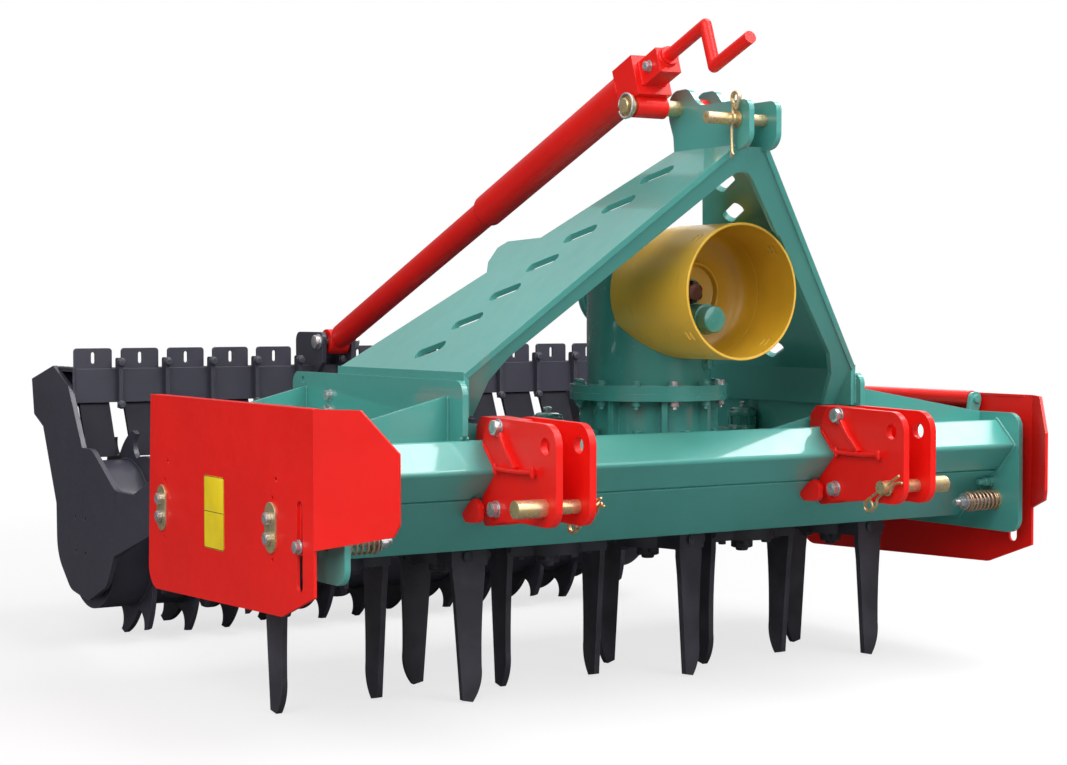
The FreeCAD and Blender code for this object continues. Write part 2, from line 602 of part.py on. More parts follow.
# ---- side plates --------------------------------------------------------------------------------
def side_plate(side):
    """Folded plate with a slot for its spring bolt and rows of holes to set its height."""
    face, inner = SIDE_FACE, SIDE_FACE - SIDE_T
    main = plate_x([(SIDE_BEND, -176, 0), (116, -218, 12), (SIDE_BACK + 16, -SIDE_LOW, 40),
                    (SIDE_BACK, SIDE_TOP, 8), (SIDE_BEND, SIDE_TOP, 0)], inner, face,
                   [(y, z, 4) for y, z in SIDE_HOLES])
    slot = [(BOLT_Y - SIDE_SLOT, -173, SIDE_SLOT - 0.1), (BOLT_Y + SIDE_SLOT, -173, SIDE_SLOT - 0.1),
            (BOLT_Y + SIDE_SLOT, -35, SIDE_SLOT - 0.1), (BOLT_Y - SIDE_SLOT, -35, SIDE_SLOT - 0.1)]
    main = main.cut(plate_x(slot, inner - 1, face + 1))
    fold = V(WING_X - face, WING_Y - SIDE_BEND, 0)
    length = fold.Length
    fold.normalize()
    inward = V(fold.y, -fold.x, 0)
    start = V(face, SIDE_BEND, 0)

    def point(along, z):
        return start + fold * along + V(0, 0, z)

    wing = panel([point(0, -106), point(0, SIDE_TOP), point(length * 0.55, SIDE_TOP), point(length, 42),
                  point(length, -62), point(length * 0.93, -80)], inward * (SIDE_T if inward.x < 0 else -SIDE_T))
    reach = 14 if side < 0 else 1
    lip = block(inner - reach, face, SIDE_BEND + 20, SIDE_BACK, SIDE_TOP - SIDE_T, SIDE_TOP)
    solid = fuse([main, wing, lip])
    if side > 0:
        return solid.translated(V(0, 0, -SIDE_DROP))
    return mirror_machine(solid)


def side_hinge(side):
    tube = rod_y(HINGE_X, HINGE_FRONT, HINGE_BACK, HINGE_Z, HINGE_TUBE_R)
    parts = [tube]
    inner = SIDE_FACE - SIDE_T
    for y in (163.0, 608.0):
        parts.append(plate_x([(y - 20, -150, 10), (y + 20, -150, 10), (y + 20, HINGE_Z + 6, 4),
                              (y - 20, HINGE_Z + 6, 4)], inner - 8, inner))
    hinge = fuse(parts)
    hinge = hinge.cut(rod_y(HINGE_X, HINGE_FRONT - 1, HINGE_BACK + 1, HINGE_Z, HINGE_PIN_R + GAP))
    return hinge if side > 0 else mirror_machine(hinge)


def spring_bolt(side):
    shank = rod_x(BOLT_END, SIDE_FACE + 12, BOLT_Y, BOLT_Z, BOLT_R)
    head = rod_x(SIDE_FACE + GAP, SIDE_FACE + 9, BOLT_Y, BOLT_Z, BOLT_HEAD_R)
    nut = rod_x(NUT_X - NUT_T, NUT_X, BOLT_Y, BOLT_Z, 10.5)
    solid = fuse([shank, head, nut])
    return solid if side > 0 else mirror_machine(solid)


# ---- roller and its frame -----------------------------------------------------------------------
ROLLER_Z = FLOOR + ROLLER_R


def roller_cheek(side):
    """Arm and cheek in one plate: a bar forward to the pivot, a round end at the axle, a horn up to the bar."""
    corners = [(PIVOT_Y - 38, PIVOT_Z - 40, 36), (ROLLER_Y - 190, -228, 0), (ROLLER_Y - 150, -290, 60),
               (ROLLER_Y - 44, -332, 60), (ROLLER_Y + 62, -320, 60), (ROLLER_Y + 144, -256, 80),
               (ROLLER_Y + 147, -150, 10), (ROLLER_Y + 229, 7, 0), (ROLLER_Y + 288, 31, 0),
               (ROLLER_Y + 301, 106, 0), (ROLLER_Y + 161, 137, 0), (ROLLER_Y + 68, 98, 0),
               (ROLLER_Y - 14, -25, 0), (ROLLER_Y - 70, -25, 60), (ROLLER_Y - 200, -98, 60),
               (ROLLER_Y - 300, -98, 0), (PIVOT_Y + 60, PIVOT_Z + 38, 40), (PIVOT_Y - 38, PIVOT_Z + 38, 36)]
    holes = [(PIVOT_Y, PIVOT_Z, PIVOT_R + GAP)]
    for y in (ROLLER_Y - BEARING_BOLT_Y, ROLLER_Y + BEARING_BOLT_Y):
        holes += [(y, ROLLER_Z - BEARING_BOLT_Z, 4), (y, ROLLER_Z + BEARING_BOLT_Z, 4)]
    solid = plate_x(corners, CHEEK_X - CHEEK_T, CHEEK_X, holes)
    return solid if side > 0 else mirror_machine(solid)


def roller_crossbar():
    half = CHEEK_X - CHEEK_T
    outer = block(-half, half, BAR_Y0, BAR_Y1, BAR_Z0, BAR_Z1)
    return outer.cut(block(-half - 1, half + 1, BAR_Y0 + BAR_WALL, BAR_Y1 - BAR_WALL,
                           BAR_Z0 + BAR_WALL, BAR_Z1 - BAR_WALL))


def scraper_places():
    return [RING_PITCH * (k - RINGS / 2) for k in range(RINGS + 1)]


def ring_places():
    return [RING_PITCH * (k - (RINGS - 1) / 2) for k in range(RINGS)]


def scraper_tabs():
    """Slotted plates that stand on the crossbar, one above each scraper."""
    tabs = []
    y = BAR_Y0 + 12
    for x in scraper_places():
        left = x - TAB_HALF
        if abs(x - CLEVIS_X) < RING_PITCH / 2:
            continue
        if left < CLEVIS_EDGE < x:
            left = CLEVIS_EDGE + 2
        tab = plate_y([(left, BAR_Z1, 0), (x + TAB_HALF, BAR_Z1, 0), (x + TAB_HALF, BAR_Z1 + TAB_H, 7),
                       (left, BAR_Z1 + TAB_H, 7)], y, y + 6)
        slot = [(x - 4.5, BAR_Z1 + 10, 4.4), (x + 4.5, BAR_Z1 + 10, 4.4), (x + 4.5, BAR_Z1 + 34, 4.4),
                (x - 4.5, BAR_Z1 + 34, 4.4)]
        tabs.append(tab.cut(plate_y(slot, y - 1, y + 7)))
    return Part.makeCompound(tabs)


def scraper_clamps():
    """Narrow upright straps on the crossbar's front, in line with the roller's rings."""
    clamps = []
    for x in ring_places():
        outline = [(BAR_Y0, BAR_Z0 - 12, 0), (BAR_Y0, BAR_Z1, 0), (BAR_Y0 + 10, BAR_Z1, 0), (BAR_Y0 + 10, BAR_Z1 + 22, 6),
                   (BAR_Y0 - 14, BAR_Z1 + 22, 6), (BAR_Y0 - 14, BAR_Z0 - 12, 6)]
        clamps.append(plate_x(outline, x - 4, x + 4))
    return Part.makeCompound(clamps)


def scrapers():
    """Wide blades hung under the crossbar, one between each pair of rings, that clean the drum."""
    made = []
    foot = (ROLLER_Y + 22, ROLLER_Z + DRUM_R + 5)
    for x in scraper_places():
        reach = BLADE_HALF if abs(x) < RING_PITCH * RINGS / 2 - 1 else BLADE_HALF - 6
        outline = [(BAR_Y0 + 6, BAR_Z0 - GAP, 0), (BAR_Y0 + 30, BAR_Z0 - GAP, 0), (BAR_Y0 + 30, BAR_Z0 - 7, 0),
                   (BAR_Y0 + 14, BAR_Z0 - 7, 8), (foot[0] + 7, foot[1] + 1, 0), foot + (0,)]
        made.append(plate_x(outline, x - reach, x + reach))
    return Part.makeCompound(made)


def ring(x, turn):
    """Toothed ring: each tooth has a long curved back, a narrow tip and an undercut front."""
    step = 2 * math.pi / RING_TEETH

    def at(angle, radius):
        return V(x - RING_T / 2, ROLLER_Y + radius * math.cos(angle), ROLLER_Z + radius * math.sin(angle))

    edges = []
    for k in range(RING_TEETH):
        a = turn + k * step
        root, back, tip, front, after = (at(a, ROOT_R), at(a + 0.42 * step, ROOT_R + 30), at(a + 0.70 * step, ROLLER_R),
                                         at(a + 0.84 * step, ROLLER_R - 3), at(a + step, ROOT_R))
        edges.append(Part.Arc(root, back, tip).toShape())
        edges.append(Part.LineSegment(tip, front).toShape())
        edges.append(Part.Arc(front, at(a + 0.80 * step, ROOT_R + 14), after).toShape())
    return Part.Face(Part.Wire(edges)).extrude(V(RING_T, 0, 0))


def roller_drum():
    """Closed drum with toothed rings and two stub axles."""
    half = CHEEK_X - CHEEK_T - 12
    drum = fuse([rod_x(-half, half, ROLLER_Y, ROLLER_Z, DRUM_R),
                 rod_x(-CHEEK_X + CHEEK_T + 1, CHEEK_X - CHEEK_T - 1, ROLLER_Y, ROLLER_Z, 20)])
    for index, x in enumerate(ring_places()):
        drum = drum.fuse(ring(x, (index % 3) * 2 * math.pi / RING_TEETH / 3))
    return drum


def roller_bearing(side):
    x = side * CHEEK_X
    x0, x1 = (x - CHEEK_T - 10, x - CHEEK_T) if side > 0 else (x + CHEEK_T, x + CHEEK_T + 10)
    return plate_x([(ROLLER_Y - 45, ROLLER_Z - 45, 14), (ROLLER_Y + 45, ROLLER_Z - 45, 14),
                    (ROLLER_Y + 45, ROLLER_Z + 45, 14), (ROLLER_Y - 45, ROLLER_Z + 45, 14)],
                   x0, x1, [(ROLLER_Y, ROLLER_Z, 20 + GAP)])


def spindle_clevis():
    """Two ears on the crossbar, which reach forward over its front edge to the pin."""
    y, z = CLEVIS
    ears = []
    for x, back in ((CLEVIS_X - CLEVIS_IN / 2 - CLEVIS_T, BAR_Y1), (CLEVIS_X + CLEVIS_IN / 2, BAR_Y1)):
        ears.append(plate_x([(y - 16, BAR_Z1 + 6, 6), (BAR_Y0 - 8, BAR_Z1 - 24, 8), (BAR_Y0, BAR_Z1 - 24, 0),
                             (BAR_Y0, BAR_Z1, 0), (back, BAR_Z1, 0), (back, CLEVIS_TOP, 20), (y - 22, CLEVIS_TOP, 16)],
                            x, x + CLEVIS_T, [(y, z, CLEVIS_PIN_R)]))
    web = block(CLEVIS_X - CLEVIS_IN / 2, CLEVIS_X + CLEVIS_IN / 2, BAR_Y0 + 50, BAR_Y0 + 58, BAR_Z1, BAR_Z1 + 44)
    return fuse(ears + [web])


def clevis_pin():
    y, z = CLEVIS
    half = CLEVIS_IN / 2 + CLEVIS_T
    return rod_x(CLEVIS_X - half - 10, CLEVIS_X + half + 12, y, z, CLEVIS_PIN_R)


# ---- spindle ------------------------------------------------------------------------------------
def spindle_frame():
    """Start point, unit vector along the spindle down to the clevis, its upper normal, and its length."""
    y1, z1 = SPINDLE_PIN
    y2, z2 = CLEVIS
    lean = math.atan2(z1 - z2, y2 - y1) + math.asin(SPINDLE_OFFSET / math.hypot(y2 - y1, z2 - z1))
    normal = V(0, math.sin(lean), math.cos(lean))
    start = V(SPINDLE_X, y1, z1) + normal * SPINDLE_OFFSET
    line = V(CLEVIS_X, y2, z2) - start
    return start, V(line).normalize(), normal, line.Length


def spindle_tube():
    start, along, normal, length = spindle_frame()
    outer = Part.makeCylinder(SPINDLE_R, SPINDLE_SPLIT, start + along * HEAD_BACK, along)
    inner = Part.makeCylinder(ROD_R + GAP, SPINDLE_SPLIT + 2, start + along * 60, along)
    return outer.cut(inner)


def head_block(a, b, low, high, half):
    """Block on the spindle's line from a to b along it, low to high across it and half a width each side."""
    start, along, normal, length = spindle_frame()
    side = along.cross(normal)
    corner = start + along * a + normal * low - side * half
    return panel([corner, corner + side * (2 * half), corner + side * (2 * half) + normal * (high - low),
                  corner + normal * (high - low)], along * (b - a))


def spindle_head():
    """Square box over the pin's sleeve, a smaller block and a collar in front of it."""
    start, along, normal, length = spindle_frame()
    y, z = SPINDLE_PIN
    sleeve = rod_x(SPINDLE_X - 30, SPINDLE_X + 30, y, z, SPINDLE_PIN_R + 5)
    bore = rod_x(SPINDLE_X - 40, SPINDLE_X + 40, y, z, SPINDLE_PIN_R + GAP)
    collar = Part.makeCylinder(15.5, 14, start - along * 90, along)
    return fuse([head_block(-28, HEAD_BACK, -40, 28, 32), head_block(-82, -28, -26, 16, 20), sleeve,
                 collar]).cut(bore)


def crank_handle():
    start, along, normal, length = spindle_frame()
    a, b = start - along * 90, start - along * 196
    c = b - normal * 70
    d = c - along * 102
    parts = [Part.makeCylinder(CRANK_R, (q - p).Length, p, q - p) for p, q in ((a, b), (b, c), (c, d))]
    parts += [Part.makeSphere(CRANK_R, b), Part.makeSphere(CRANK_R, c)]
    return fuse(parts)


def spindle_rod():
    start, along, normal, length = spindle_frame()
    y, z = CLEVIS
    first = SPINDLE_SPLIT - 330
    tube = Part.makeCylinder(ROD_R, length - first - ROD_END, start + along * first, along)
    neck = Part.makeCylinder(EYE_HALF - 2, ROD_END, start + along * (length - ROD_END - 2), along)
    eye = rod_x(CLEVIS_X - EYE_HALF, CLEVIS_X + EYE_HALF, y, z, EYE_R)
    shift = (V(0, along.y, along.z) + normal) * EYE_SHIFT
    bore = rod_x(CLEVIS_X - EYE_HALF - 4, CLEVIS_X + EYE_HALF + 4, y + shift.y, z + shift.z, CLEVIS_PIN_R + EYE_PLAY)
    return fuse([tube, neck, eye]).cut(bore)


def main():
    os.makedirs("parts", exist_ok=True)
    save(front_beam(), "front_beam")
    save(gear_trough(), "gear_trough")
    save(trough_lid(), "trough_lid")
    save(bearing_caps(), "bearing_caps")
    save(top_link_pin(), "top_link_pin")
    save(ear_spacer(), "ear_spacer")
    save(spindle_pin(), "spindle_pin")
    save(gearbox_base(), "gearbox_base")
    save(gearbox_case(), "gearbox_case")
    save(input_shaft(), "input_shaft")
    save(pto_guard(), "pto_guard")
    for side, name in ((-1, "left"), (1, "right")):
        save(end_plate(side), "end_plate_" + name)
        save(console(side), "console_" + name)
        save(console_ribs(side), "console_ribs_" + name)
        save(headstock_arm(side), "headstock_arm_" + name)
        save(hitch_bracket(side), "hitch_bracket_" + name)
        save(bracket_clamps(side), "bracket_clamps_" + name)
        save(lower_link_pin(side), "lower_link_pin_" + name)
        save(side_plate(side), "side_plate_" + name)
        save(side_hinge(side), "side_hinge_" + name)
        save(spring_bolt(side), "spring_bolt_" + name)
        save(roller_cheek(side), "roller_cheek_" + name)
        save(roller_bearing(side), "roller_bearing_" + name)
    for number, x in enumerate(rotor_places(), 1):
        hub, tines = rotor_hub(x), tine_pair(x)
        for shape in (hub, tines):
            shape.rotate(V(x, ROTOR_BACK, 0), V(0, 0, 1), ROTOR_TURN[number - 1])
        save(hub, "rotor_hub_%d" % number)
        save(tines, "tines_%d" % number)
    save(roller_crossbar(), "roller_crossbar")
    save(scraper_tabs(), "scraper_tabs")
    save(scraper_clamps(), "scraper_clamps")
    save(scrapers(), "scrapers")
    save(roller_drum(), "roller_drum")
    save(spindle_clevis(), "spindle_clevis")
    save(clevis_pin(), "clevis_pin")
    save(spindle_tube(), "spindle_tube")
    save(spindle_head(), "spindle_head")
    save(crank_handle(), "crank_handle")
    save(spindle_rod(), "spindle_rod")


main()
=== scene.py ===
"""Looks of a power harrow with a toothed packer roller.

The steel structure comes ready made from the frame.  This file gives it its paint, zinc and plastic, adds the
bolts, nuts, washers, spring clips, springs, splines, weld beads and blank labels, and sets the stage.
Lengths in the code are millimetres from the front corner of the front beam: +X right, +Y rear, +Z up.
"""
import json
import math

import bmesh
import bpy
from bpy.props import FloatProperty, FloatVectorProperty, IntProperty, PointerProperty
from mathutils import Matrix, Vector


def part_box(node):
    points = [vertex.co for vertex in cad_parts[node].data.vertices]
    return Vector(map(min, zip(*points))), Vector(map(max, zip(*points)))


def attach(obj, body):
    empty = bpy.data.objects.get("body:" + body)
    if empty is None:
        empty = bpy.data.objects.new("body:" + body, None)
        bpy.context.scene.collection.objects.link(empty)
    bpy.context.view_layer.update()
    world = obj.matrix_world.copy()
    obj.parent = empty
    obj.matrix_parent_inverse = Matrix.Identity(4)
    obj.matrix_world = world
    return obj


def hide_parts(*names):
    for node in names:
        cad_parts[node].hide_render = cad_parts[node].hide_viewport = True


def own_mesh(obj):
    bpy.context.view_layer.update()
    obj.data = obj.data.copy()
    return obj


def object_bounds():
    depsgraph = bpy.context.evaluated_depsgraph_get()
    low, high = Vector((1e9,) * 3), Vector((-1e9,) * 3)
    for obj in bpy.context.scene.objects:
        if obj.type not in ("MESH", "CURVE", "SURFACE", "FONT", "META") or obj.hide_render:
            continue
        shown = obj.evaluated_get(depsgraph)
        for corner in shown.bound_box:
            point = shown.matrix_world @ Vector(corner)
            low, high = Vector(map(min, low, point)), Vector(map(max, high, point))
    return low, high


bl_info = {
    "name": "Power harrow looks",
    "version": (1, 0, 0),
    "blender": (4, 5, 0),
    "location": "3D View > Sidebar > Harrow",
    "description": "Paint, hardware and stage for a power harrow with a toothed packer roller",
    "category": "Object",
}

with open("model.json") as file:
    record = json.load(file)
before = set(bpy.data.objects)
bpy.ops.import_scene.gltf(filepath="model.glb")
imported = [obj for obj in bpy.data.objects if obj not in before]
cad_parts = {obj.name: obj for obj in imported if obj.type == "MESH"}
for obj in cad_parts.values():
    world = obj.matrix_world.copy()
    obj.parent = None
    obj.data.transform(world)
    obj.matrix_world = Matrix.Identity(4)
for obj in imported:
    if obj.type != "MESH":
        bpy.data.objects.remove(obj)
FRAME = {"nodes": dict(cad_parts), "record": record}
CAD_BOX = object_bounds()
JOINTS = {joint["name"]: joint for joint in FRAME["record"]["behaviour"]["joints"]}
SHAFT_POINT = Vector((0.0, 0.078, 0.282))     # where the input shaft's joint stands, in metres from the corner
CORNER = Vector(JOINTS["input_spin"]["pos_m"]) - SHAFT_POINT
RIGHT, REAR, UP = Vector((1, 0, 0)), Vector((0, 1, 0)), Vector((0, 0, 1))
SIDES = (("left", -1), ("right", 1))

# faces and axes of the frame that fittings stand on
LID_TOP = 22.0
END_INNER, END_OUTER = 690.0, 700.0           # end plates
HEADSTOCK_MIDDLE, FOOT_HALF, FOOT_T = -52.0, 414.0, 10.0
SIDE_INNER, SIDE_FACE = 739.0, 744.0          # side plates
RIGHT_DROP = 12.0                             # the right side plate is set lower than the left one
CHEEK_INNER = 658.0
PIVOT = (710.0, -70.0)                        # of the roller frame
LOWER_PIN = (-143.0, -46.0)
TOP_PIN = (-162.0, 552.0)


# ---- sizes and colours --------------------------------------------------------------------------
def length(name, description, default):
    """Setting for a length in metres."""
    return FloatProperty(name=name, description=description, default=default, min=0.0, unit="LENGTH")


def colour(name, description, default):
    """Setting for a colour."""
    return FloatVectorProperty(name=name, description=description, default=default, size=3, min=0.0, max=1.0,
                               subtype="COLOR")


class HarrowSizes(bpy.types.PropertyGroup):
    """Sizes of the fittings"""

    bracket_flats: length("Bracket bolts", "Width over flats of the hitch brackets' bolts", 0.022)
    flange_flats: length("Gearbox bolts", "Width over flats of the gearbox's bolts", 0.0145)
    lid_flats: length("Lid bolts", "Width over flats of the trough lid's bolts", 0.013)
    strap_flats: length("Side plate bolts", "Width over flats of the bolts on the side plates' straps", 0.0185)
    clip_wire: length("Clip wire", "Diameter of the spring clips' wire", 0.0046)
    spring_wire: length("Spring wire", "Diameter of the side plates' spring wire", 0.0043)
    spring_width: length("Spring width", "Outside diameter of the side plates' springs", 0.038)
    spring_turns: FloatProperty(name="Spring turns", description="Turns of each spring", default=8.25, min=3.0)
    splines: IntProperty(name="Splines", description="Splines on the input shaft", default=6, min=4)


class HarrowColours(bpy.types.PropertyGroup):
    """Colours of the finishes"""

    teal: colour("Teal paint", "Frame, gearbox and headstock", (0.072, 0.350, 0.308))
    red: colour("Red paint", "Side plates, brackets and spindle", (0.86, 0.012, 0.008))
    anthracite: colour("Anthracite paint", "Roller and its frame", (0.044, 0.043, 0.062))
    ochre: colour("Ochre plastic", "Shaft guard", (0.74, 0.44, 0.034))
    # the guard's darker brown inner wall is painted shade
    guard_inside_shade: colour("Guard inside", "Inner wall of the shaft guard", (0.52, 0.29, 0.016))
    tine: colour("Tine steel", "Tines", (0.040, 0.039, 0.050))
    shaft: colour("Shaft steel", "Input shaft", (0.085, 0.030, 0.018))
    yellow_zinc: colour("Yellow zinc", "Pins, clips and straps", (0.76, 0.57, 0.27))
    silver_zinc: colour("Silver zinc", "Bolts and nuts", (0.66, 0.66, 0.65))
    spring: colour("Spring wire", "Side plate springs", (0.72, 0.50, 0.35))
    label: colour("Label yellow", "Blank labels", (0.92, 0.70, 0.010))


class HarrowStage(bpy.types.PropertyGroup):
    """Camera and light"""

    lens: FloatProperty(name="Lens", description="Focal length of the camera", default=67.84, min=20.0,
                        unit="CAMERA")
    around: FloatProperty(name="Around", description="Camera's turn from straight ahead",
                          default=math.radians(-31.95), subtype="ANGLE")
    down: FloatProperty(name="Down", description="Camera's tilt below level", default=math.radians(2.02),
                        subtype="ANGLE")
    floor: length("Floor radius", "Radius of the floor", 14.0)
    sky: FloatProperty(name="Sky", description="Strength of the even light from all round", default=0.34, min=0.0)
    key: FloatProperty(name="Key lamp", description="Power of the main soft lamp", default=150.0, min=0.0,
                       unit="POWER")


def mm(metres):
    """Length or place in millimetres."""
    return metres * 1000.0


# ---- making pieces ------------------------------------------------------------------------------
SHARP_EDGE = math.radians(38.0)


def across(along):
    """Two unit vectors square to a direction, so that the three are right-handed."""
    along = along.normalized()
    side = UP.cross(along) if abs(along.z) < 0.9 else RIGHT - along * along.x
    side.normalize()
    return side, along.cross(side)


def curved(points, per=6):
    """Smooth run of points through the given ones."""
    points = [Vector(p) for p in points]
    ends = [points[0] * 2 - points[1]] + points + [points[-1] * 2 - points[-2]]
    run = []
    for a, b, c, d in zip(ends, ends[1:], ends[2:], ends[3:]):
        for k in range(per):
            t = k / per
            run.append((b * 2 + (c - a) * t + (a * 2 - b * 5 + c * 4 - d) * t ** 2
                        + (b * 3 - a - c * 3 + d) * t ** 3) * 0.5)
    return run + [points[-1]]


def paced(points, step):
    """Points an even step apart along straight runs."""
    run = []
    for a, b in zip(points, points[1:]):
        a, b = Vector(a), Vector(b)
        count = max(1, round((b - a).length / step))
        run += [a.lerp(b, k / count) for k in range(count)]
    return run + [Vector(points[-1])]


def rounded(width, height, radius, steps=6):
    """Outline of a rectangle with round corners, about its middle."""
    outline = []
    for turn, (u, v) in enumerate(((1, 1), (-1, 1), (-1, -1), (1, -1))):
        for k in range(steps + 1):
            angle = math.pi / 2 * (turn + k / steps)
            outline.append((u * (width / 2 - radius) + radius * math.cos(angle),
                            v * (height / 2 - radius) + radius * math.sin(angle)))
    return outline


class Workpiece:
    """One piece, put together from turned, hexagonal, bent, welded and flat parts in millimetres."""

    def __init__(self):
        self.mesh = bmesh.new()

    def skin(self, rings, loop=False):
        """Skin over rings of points, closed by a face at each end or, for a loop, back to the first ring."""
        rows = [[self.mesh.verts.new(p) for p in ring] for ring in rings]
        for a, b in list(zip(rows, rows[1:])) + ([(rows[-1], rows[0])] if loop else []):
            for i in range(len(a)):
                k = (i + 1) % len(a)
                self.mesh.faces.new((a[i], a[k], b[k], b[i]))
        if not loop:
            self.mesh.faces.new(list(reversed(rows[0])))
            self.mesh.faces.new(rows[-1])

    def turned(self, base, along, profile, steps=28, loop=False):
        """Lathe part: the profile gives distances along the axis and radii."""
        base, along = Vector(base), along.normalized()
        u, v = across(along)
        circle = [(math.cos(2 * math.pi * i / steps), math.sin(2 * math.pi * i / steps)) for i in range(steps)]
        self.skin([[base + along * d + (u * c + v * s) * r for c, s in circle] for d, r in profile], loop)

    def hexed(self, base, along, height, flats, turn=0.0, both=False):
        """Hexagon with the true curved chamfer on its top, and on its bottom too for a nut."""
        base, along = Vector(base), along.normalized()
        u, v = across(along)
        top = flats * 0.475
        rows, count = [[], [], [], []], 30
        for i in range(count):
            angle = 2 * math.pi * i / count
            reach = flats / 2 / math.cos((angle + math.pi / 6) % (math.pi / 3) - math.pi / 6)
            drop = (reach - top) * 0.55
            way = u * math.cos(angle + turn) + v * math.sin(angle + turn)
            for row, (d, r) in zip(rows, ((0, top if both else reach), (drop if both else height * 0.3, reach),
                                          (height - drop, reach), (height, top))):
                row.append(base + along * d + way * r)
        self.skin(rows)

    def ring(self, base, along, bore, wide, thick, steps=32, bevel=0.4):
        """Washer with a bevelled outer edge."""
        profile = [(0, bore), (0, wide), (thick - bevel, wide), (thick, wide - 0.6), (thick, bore)]
        self.turned(base, along, profile, steps)

    def seated(self, base, along, flats):
        """Washer under a head or a nut, and the place on top of it."""
        thick, wide = flats * 0.11, flats * 0.63
        self.turned(base, along, [(0, wide), (thick - 0.4, wide), (thick, wide - 0.5), (thick, flats * 0.3)])
        return base + along * thick

    def bolt(self, base, along, flats, turn=0.3, washer=True):
        """Hexagon head with its washer, standing on a face."""
        base, along = Vector(base), along.normalized()
        if washer:
            base = self.seated(base, along, flats)
        height = flats * 0.42
        self.turned(base, along, [(0, flats * 0.46), (0.5, flats * 0.46)], 24)
        self.hexed(base + along * 0.4, along, height, flats, turn)
        self.turned(base + along * (height + 0.4), along,
                    [(-0.5, flats * 0.36), (0.25, flats * 0.35), (0.3, flats * 0.3), (-0.1, flats * 0.27)], 20)

    def nut(self, base, along, flats, turn=0.1, stud=0.35, washer=True):
        """Nut on its washer with the end of the stud standing out of it."""
        base, along = Vector(base), along.normalized()
        if washer:
            base = self.seated(base, along, flats)
        height = flats * 0.5
        self.hexed(base, along, height, flats, turn, both=True)
        self.thread(base + along * height, along, flats * stud, flats / 3.05)

    def thread(self, base, along, reach, radius, pitch=1.75):
        """Ridged rod with a chamfered end."""
        profile = [(0.0, radius * 0.99)]
        for k in range(int(reach / pitch)):
            profile += [((k + 0.25) * pitch, radius), ((k + 0.75) * pitch, radius * 0.88)]
        profile += [(reach, radius * 0.96), (reach + 1.0, radius * 0.82)]
        self.turned(base, along, profile, 20)

    def wire(self, run, radius, steps=10):
        """Round wire along a run of points; a list of radii lets it swell and shrink."""
        run = [Vector(p) for p in run]
        radii = radius if isinstance(radius, list) else [radius] * len(run)
        rings, side = [], None
        for i, (p, r) in enumerate(zip(run, radii)):
            ahead = (run[min(i + 1, len(run) - 1)] - run[max(i - 1, 0)]).normalized()
            side = across(ahead)[0] if side is None else (side - ahead * side.dot(ahead)).normalized()
            other = ahead.cross(side)
            ring = [(math.cos(2 * math.pi * k / steps), math.sin(2 * math.pi * k / steps)) for k in range(steps)]
            rings.append([p + (side * c + other * s) * r for c, s in ring])
            if i in (0, len(run) - 1):
                tip = p + ahead * (r * 0.4 if i else -r * 0.4)
                cap = [tip + (side * c + other * s) * r * 0.7 for c, s in ring]
                rings.insert(0, cap) if i == 0 else rings.append(cap)
        self.skin(rings)

    def rib(self, run, out, high, thick):
        """Strip that stands on a face along a run of points, its top corners rounded."""
        run = [Vector(p) for p in run]
        rings = []
        for i, p in enumerate(run):
            side = out.cross((run[min(i + 1, len(run) - 1)] - run[max(i - 1, 0)]).normalized())
            corner = [(high - thick * 0.35 * (1 - math.sin(a)), thick * (0.15 + 0.35 * math.cos(a)))
                      for a in (0, math.pi / 4, math.pi / 2)]
            shape = [(-1.0, -0.5 * thick), (-1.0, 0.5 * thick)] + corner + [(a, -b) for a, b in reversed(corner)]
            rings.append([p + out * a + side * b for a, b in shape])
        self.skin(rings)

    def bead(self, points, radius, step=3.0):
        """Weld bead with the ripples of its passes."""
        run = paced(points, step)
        self.wire(run, [radius * (1 + 0.13 * math.sin(2.3 * i) + 0.07 * math.sin(0.61 * i + 1)) for i in
                        range(len(run))], 8)

    def coil(self, base, along, reach, wide, wire, turns):
        """Spring whose end turns lie close, as wound and ground ones do."""
        base, along = Vector(base), along.normalized()
        u, v = across(along)
        radius, run = (wide - wire) / 2, []
        count = int(turns * 22)
        close = 1.0                     # turns at each end that lie close
        pitch = (reach - wire - 2 * close * wire) / (turns - 2 * close)
        for i in range(count + 1):
            turn = turns * i / count
            if turn < close:
                d = turn * wire
            elif turn > turns - close:
                d = reach - wire - (turns - turn) * wire
            else:
                d = close * wire + (turn - close) * pitch
            angle = 2 * math.pi * turn
            run.append(base + along * (d + wire / 2) + (u * math.cos(angle) + v * math.sin(angle)) * radius)
        self.wire(run, wire / 2, 10)

    def clip(self, pin, legs, bow, pin_radius, head, tip, wire):
        """Spring clip: a straight leg through the pin, a coiled head, and a leg bowed over the pin."""
        pin, legs, bow = Vector(pin), legs.normalized(), bow.normalized()
        through = legs.cross(bow)
        loop = 9.5

        def spot(s, t, lift=0.0):
            return pin + legs * s + bow * t + through * lift

        run = [spot(tip, 0), spot(tip * 0.4, 0), spot(-pin_radius, 0), spot(head * 0.7, 0)]
        turns = [math.radians(a) for a in range(-90, -90 - 541, -30)]
        run += [spot(head + loop * math.cos(a), loop + loop * math.sin(a), wire * 1.05 * k / len(turns))
                for k, a in enumerate(turns)]
        swell = pin_radius + wire * 0.55
        for s, t in ((head + 16, 2 * loop - 3.5), (head * 0.5 - 4, 7.5), (-pin_radius * 0.95, pin_radius * 0.62),
                     (-pin_radius * 0.5, swell * 0.88), (0, swell), (pin_radius * 0.5, swell * 0.88),
                     (pin_radius * 0.95, pin_radius * 0.62), (pin_radius + 9, 4.6), (tip - 9, 8), (tip - 4, 12)):
            run.append(spot(s, t, wire * 1.05))
        self.wire(curved(run, 4), wire / 2, 10)

